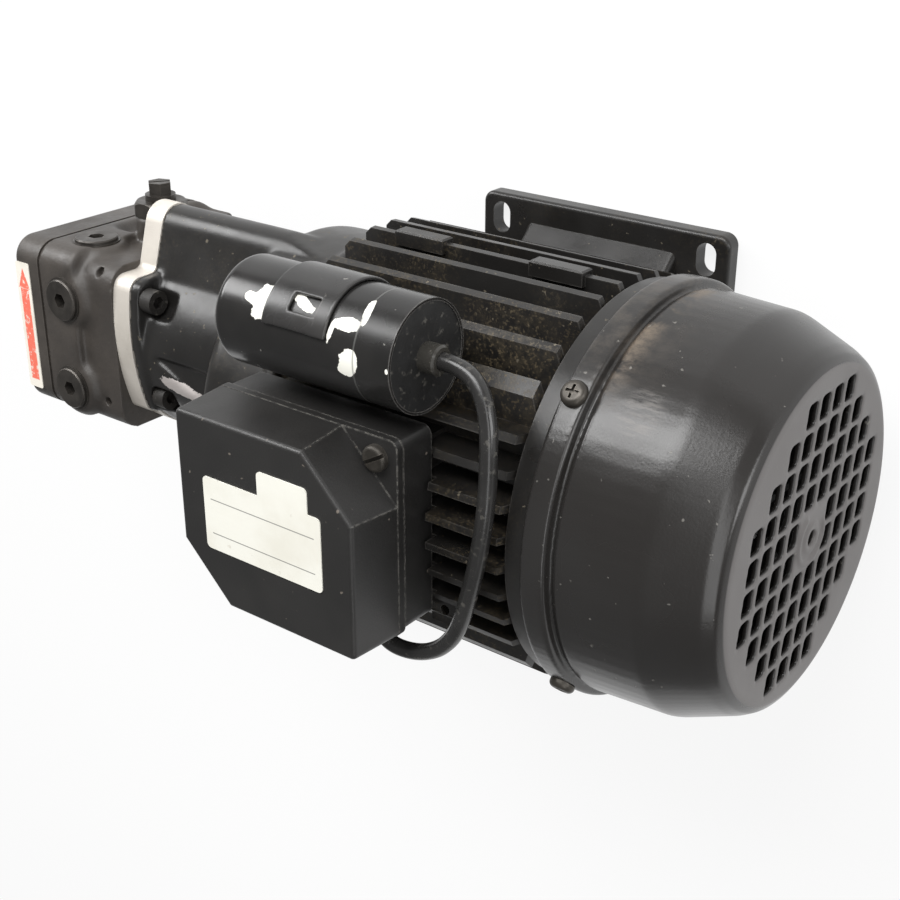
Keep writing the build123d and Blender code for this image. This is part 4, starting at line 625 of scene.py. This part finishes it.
# Castings, pressings and mouldings: the solid's mesh on an even grid, reshaped where the photograph
# asks for it, and its edges rounded by averaging each point with its neighbours
def soften(name, material, cell, rounds, shape=None, keep=None):
    skin = bpy.data.objects.new(name + "_skin", nodes[name].data.copy())
    bpy.context.collection.objects.link(skin)
    grid = skin.modifiers.new("grid", "REMESH")
    grid.mode = "VOXEL"
    grid.voxel_size = cell
    bpy.context.view_layer.update()
    graph = bpy.context.evaluated_depsgraph_get()
    mesh = bpy.data.meshes.new_from_object(skin.evaluated_get(graph))
    skin.modifiers.clear()
    skin.data = mesh
    points = np.empty(3 * len(mesh.vertices))
    mesh.vertices.foreach_get("co", points)
    points = points.reshape(-1, 3)
    if shape:
        shape(points)
    ends = np.empty(2 * len(mesh.edges), dtype=np.int32)
    mesh.edges.foreach_get("vertices", ends)
    first, second = ends.reshape(-1, 2).T
    size = len(points)
    neighbours = np.bincount(first, minlength=size) + np.bincount(second, minlength=size)
    share = 0.5 * (1.0 - keep(points)) if keep else 0.5
    for _ in range(rounds):
        for axis in range(3):
            values = points[:, axis]
            total = np.bincount(first, values[second], size) + np.bincount(second, values[first], size)
            points[:, axis] += share * (total / neighbours - values)
    mesh.vertices.foreach_set("co", points.ravel())
    mesh.update()
    mesh.shade_smooth()
    mesh.materials.clear()
    mesh.materials.append(material)
    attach(skin, "unit")
    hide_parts(name)


# 1 within the inner distance, falling to 0 at the outer one
def near(distance, inside, outside):
    return np.clip((outside - distance) / (outside - inside), 0.0, 1.0)


# Pump body: no pad on the top's far half; faces that other pieces touch keep their edges
def pump_shape(points):
    x, y, z = points.T
    from_cap = np.hypot(x - pump_cap_x, z - axis_z)
    far_half = (x > pump_left + far_pad_left) & (z < axis_z + far_pad_w)
    far_pad = far_half & (y > pump_waist_top) & (from_cap > far_pad_cap_gap)
    points[far_pad, 1] = pump_waist_top


def pump_keep(points):
    x, y, z = points.T
    held = near(np.abs(x - pump_left), 0.0004, 0.0012)
    held = np.maximum(held, near(np.abs(x - pump_right), 0.0004, 0.0010))
    for plug_y in pump_plug_y:
        held = np.maximum(held, near(np.hypot(x - pump_plug_x, y - plug_y), *plug_face))
    top_plug = np.hypot(x - pump_plug_x, z - axis_z - pump_top_plug_w)
    held = np.maximum(held, near(top_plug, *plug_face) * (y > pump_waist_top))
    cap = np.hypot(x - pump_cap_x, z - axis_z)
    held = np.maximum(held, near(cap, *cap_face) * (y > pump_waist_top))
    for hole_y in pump_drilling_y:
        held = np.maximum(held, near(np.hypot(x - pump_drilling_x, y - hole_y), *drilling_face))
    return held


# Bell and end shield: soft cast edges, sharp only at the adapter and at the motor
def bell_keep(points):
    x = points[:, 0]
    held = near(np.abs(x - bell_left), 0.0004, 0.0010)
    return np.maximum(held, near(housing_left_x - x, -0.002, 0.0))


# Capacitor clip: narrower band, window moved along and round the can
def clip_shape(points):
    x, y, z = points.T
    angle = np.degrees(np.arctan2(z - can_z, y - can_y))
    window = near(np.abs(x - clip_window_x), 0.0062, 0.0085)
    window = window * near(np.abs(angle - clip_window_angle), 14.0, 24.0)
    left = near(x, clip_left + 0.001, clip_left + 0.0075)
    moved = np.maximum(left * clip_left_shift, window * clip_window_shift)
    points[:, 0] = x + moved
    turn = np.radians(window * clip_window_turn)
    dy, dz = y - can_y, z - can_z
    points[:, 1] = can_y + dy * np.cos(turn) - dz * np.sin(turn)
    points[:, 2] = can_z + dy * np.sin(turn) + dz * np.cos(turn)


# Fan cover: a straight sloping shoulder between the side and the grille's face
def cover_shape(points):
    x = points[:, 0]
    y, z = points[:, 1], points[:, 2] - axis_z
    radius = np.hypot(y, z)
    slices = np.round((x - x.min()) / cover_slice).astype(int)
    outer = np.zeros(slices.max() + 1)
    np.maximum.at(outer, slices, radius)
    places = x.min() + cover_slice * np.arange(len(outer))
    shoulder = (places > shoulder_x[0]) & (places < shoulder_x[-1])
    wanted = np.where(shoulder, np.interp(places, shoulder_x, shoulder_radius), outer)
    ratio = np.interp(x, places, wanted / outer)
    rim = np.clip((radius - cover_grille_radius) / cover_rim_width, 0.0, 1.0)
    ratio = 1.0 + (ratio - 1.0) * rim
    points[:, 1] = y * ratio
    points[:, 2] = axis_z + z * ratio


def cover_keep(points):
    return near(points[:, 0], collar_x, collar_step_x)


# Looks of the solids that stay as they are
def dress(material, *names):
    for name in names:
        obj = nodes[name]
        obj.data.materials.clear()
        obj.data.materials.append(material)


def smooth_all():
    for obj in nodes.values():
        mesh = obj.data
        if not mesh.has_custom_normals:
            mesh.shade_smooth()
            mesh.set_sharp_from_angle(angle=math.radians(32))


make_camera()
make_stage()
bpy.context.scene.view_settings.view_transform = "Standard"
smooth_all()

# Lead, motor, bell and foot
make_lead(rubber("lead_rubber", (0.017, 0.0165, 0.016), 0.27))
dress(black_paint("housing_paint", 0.9).done(), "motor_housing")
dress(black_paint("shield_paint", 0.12).done(), "rear_end_shield")
dress(black_paint("foot_paint", 0.35).done(), "foot_plate")
soften("drive_end_housing", bell_paint(), cell=0.0007, rounds=14, keep=bell_keep)
soften("fan_cover", satin_plastic(), cell=0.0005, rounds=7, shape=cover_shape,
       keep=cover_keep)
# Adapter screws painted near-black: painted shade of the dark pockets they sit in
dress(rubber("pocket_painted_shade", (0.011, 0.0095, 0.008), 0.62), "adapter_screws")

# Terminal box and capacitor
dress(box_plastic(), "terminal_box_base", "terminal_box_cover", "terminal_block")
dress(capacitor_gloss(), "capacitor_can")
soften("capacitor_clip", clip_paint(), cell=0.00028, rounds=8, shape=clip_shape)
dress(rubber("outlet_rubber", (0.034, 0.032, 0.028), 0.24), "capacitor_outlet")
dress(label_film(), "rating_label")

# Pump, adapter and coupling
casting = pump_casting()
dress(casting, "pump_cover")
soften("pump_body", casting, cell=0.0006, rounds=20, shape=pump_shape, keep=pump_keep)
dress(bare_aluminium(), "adapter_plate", "rotor_end_rings", "motor_coupling_hub", "pump_coupling_hub")
dress(strip_film(), "arrow_strip")
dress(rubber("gasket_paper", (0.05, 0.042, 0.035), 0.8), "pump_gasket")
dress(rubber("spider_rubber", (0.35, 0.05, 0.03), 0.5), "coupling_spider")

# Screws, plugs, turned and wound pieces
dress(
    dark_steel("plug_steel", (0.060, 0.054, 0.048), 0.42),
    "port_plugs", "plug_washers", "regulator_cap", "regulator_washer", "regulator_screw",
)
dress(
    dark_steel("screw_steel", (0.070, 0.063, 0.054), 0.45),
    "fan_cover_screws", "terminal_box_screws", "clip_screw", "pump_cover_screws", "foot_screws",
    "tie_bolts", "gear_plate_screws", "coupling_set_screws",
)
ground_steel = bright_metal("ground_steel", (0.50, 0.50, 0.49), 0.25)
make_spring(ground_steel)
dress(
    ground_steel,
    "motor_shaft", "pump_shaft", "idler_pin", "drive_gear", "driven_gear", "gear_key",
    "bearing_balls", "bearing_inner_rings", "bearing_outer_rings", "gear_plate",
    "regulator_piston", "fan_retaining_ring",
)
dress(bright_metal("core_steel", (0.22, 0.22, 0.23), 0.45), "rotor_core", "stator_core")
dress(bright_metal("brass", (0.60, 0.44, 0.20), 0.35), "terminal_block_screws", "strainer")
dress(windings_copper(), "stator_windings")
dress(
    rubber("black_rubber", (0.012, 0.012, 0.012), 0.45),
    "capacitor_end_disc", "lead_gland", "cable_entry_grommet", "terminal_box_gasket", "shaft_seal",
    "cooling_fan",
)
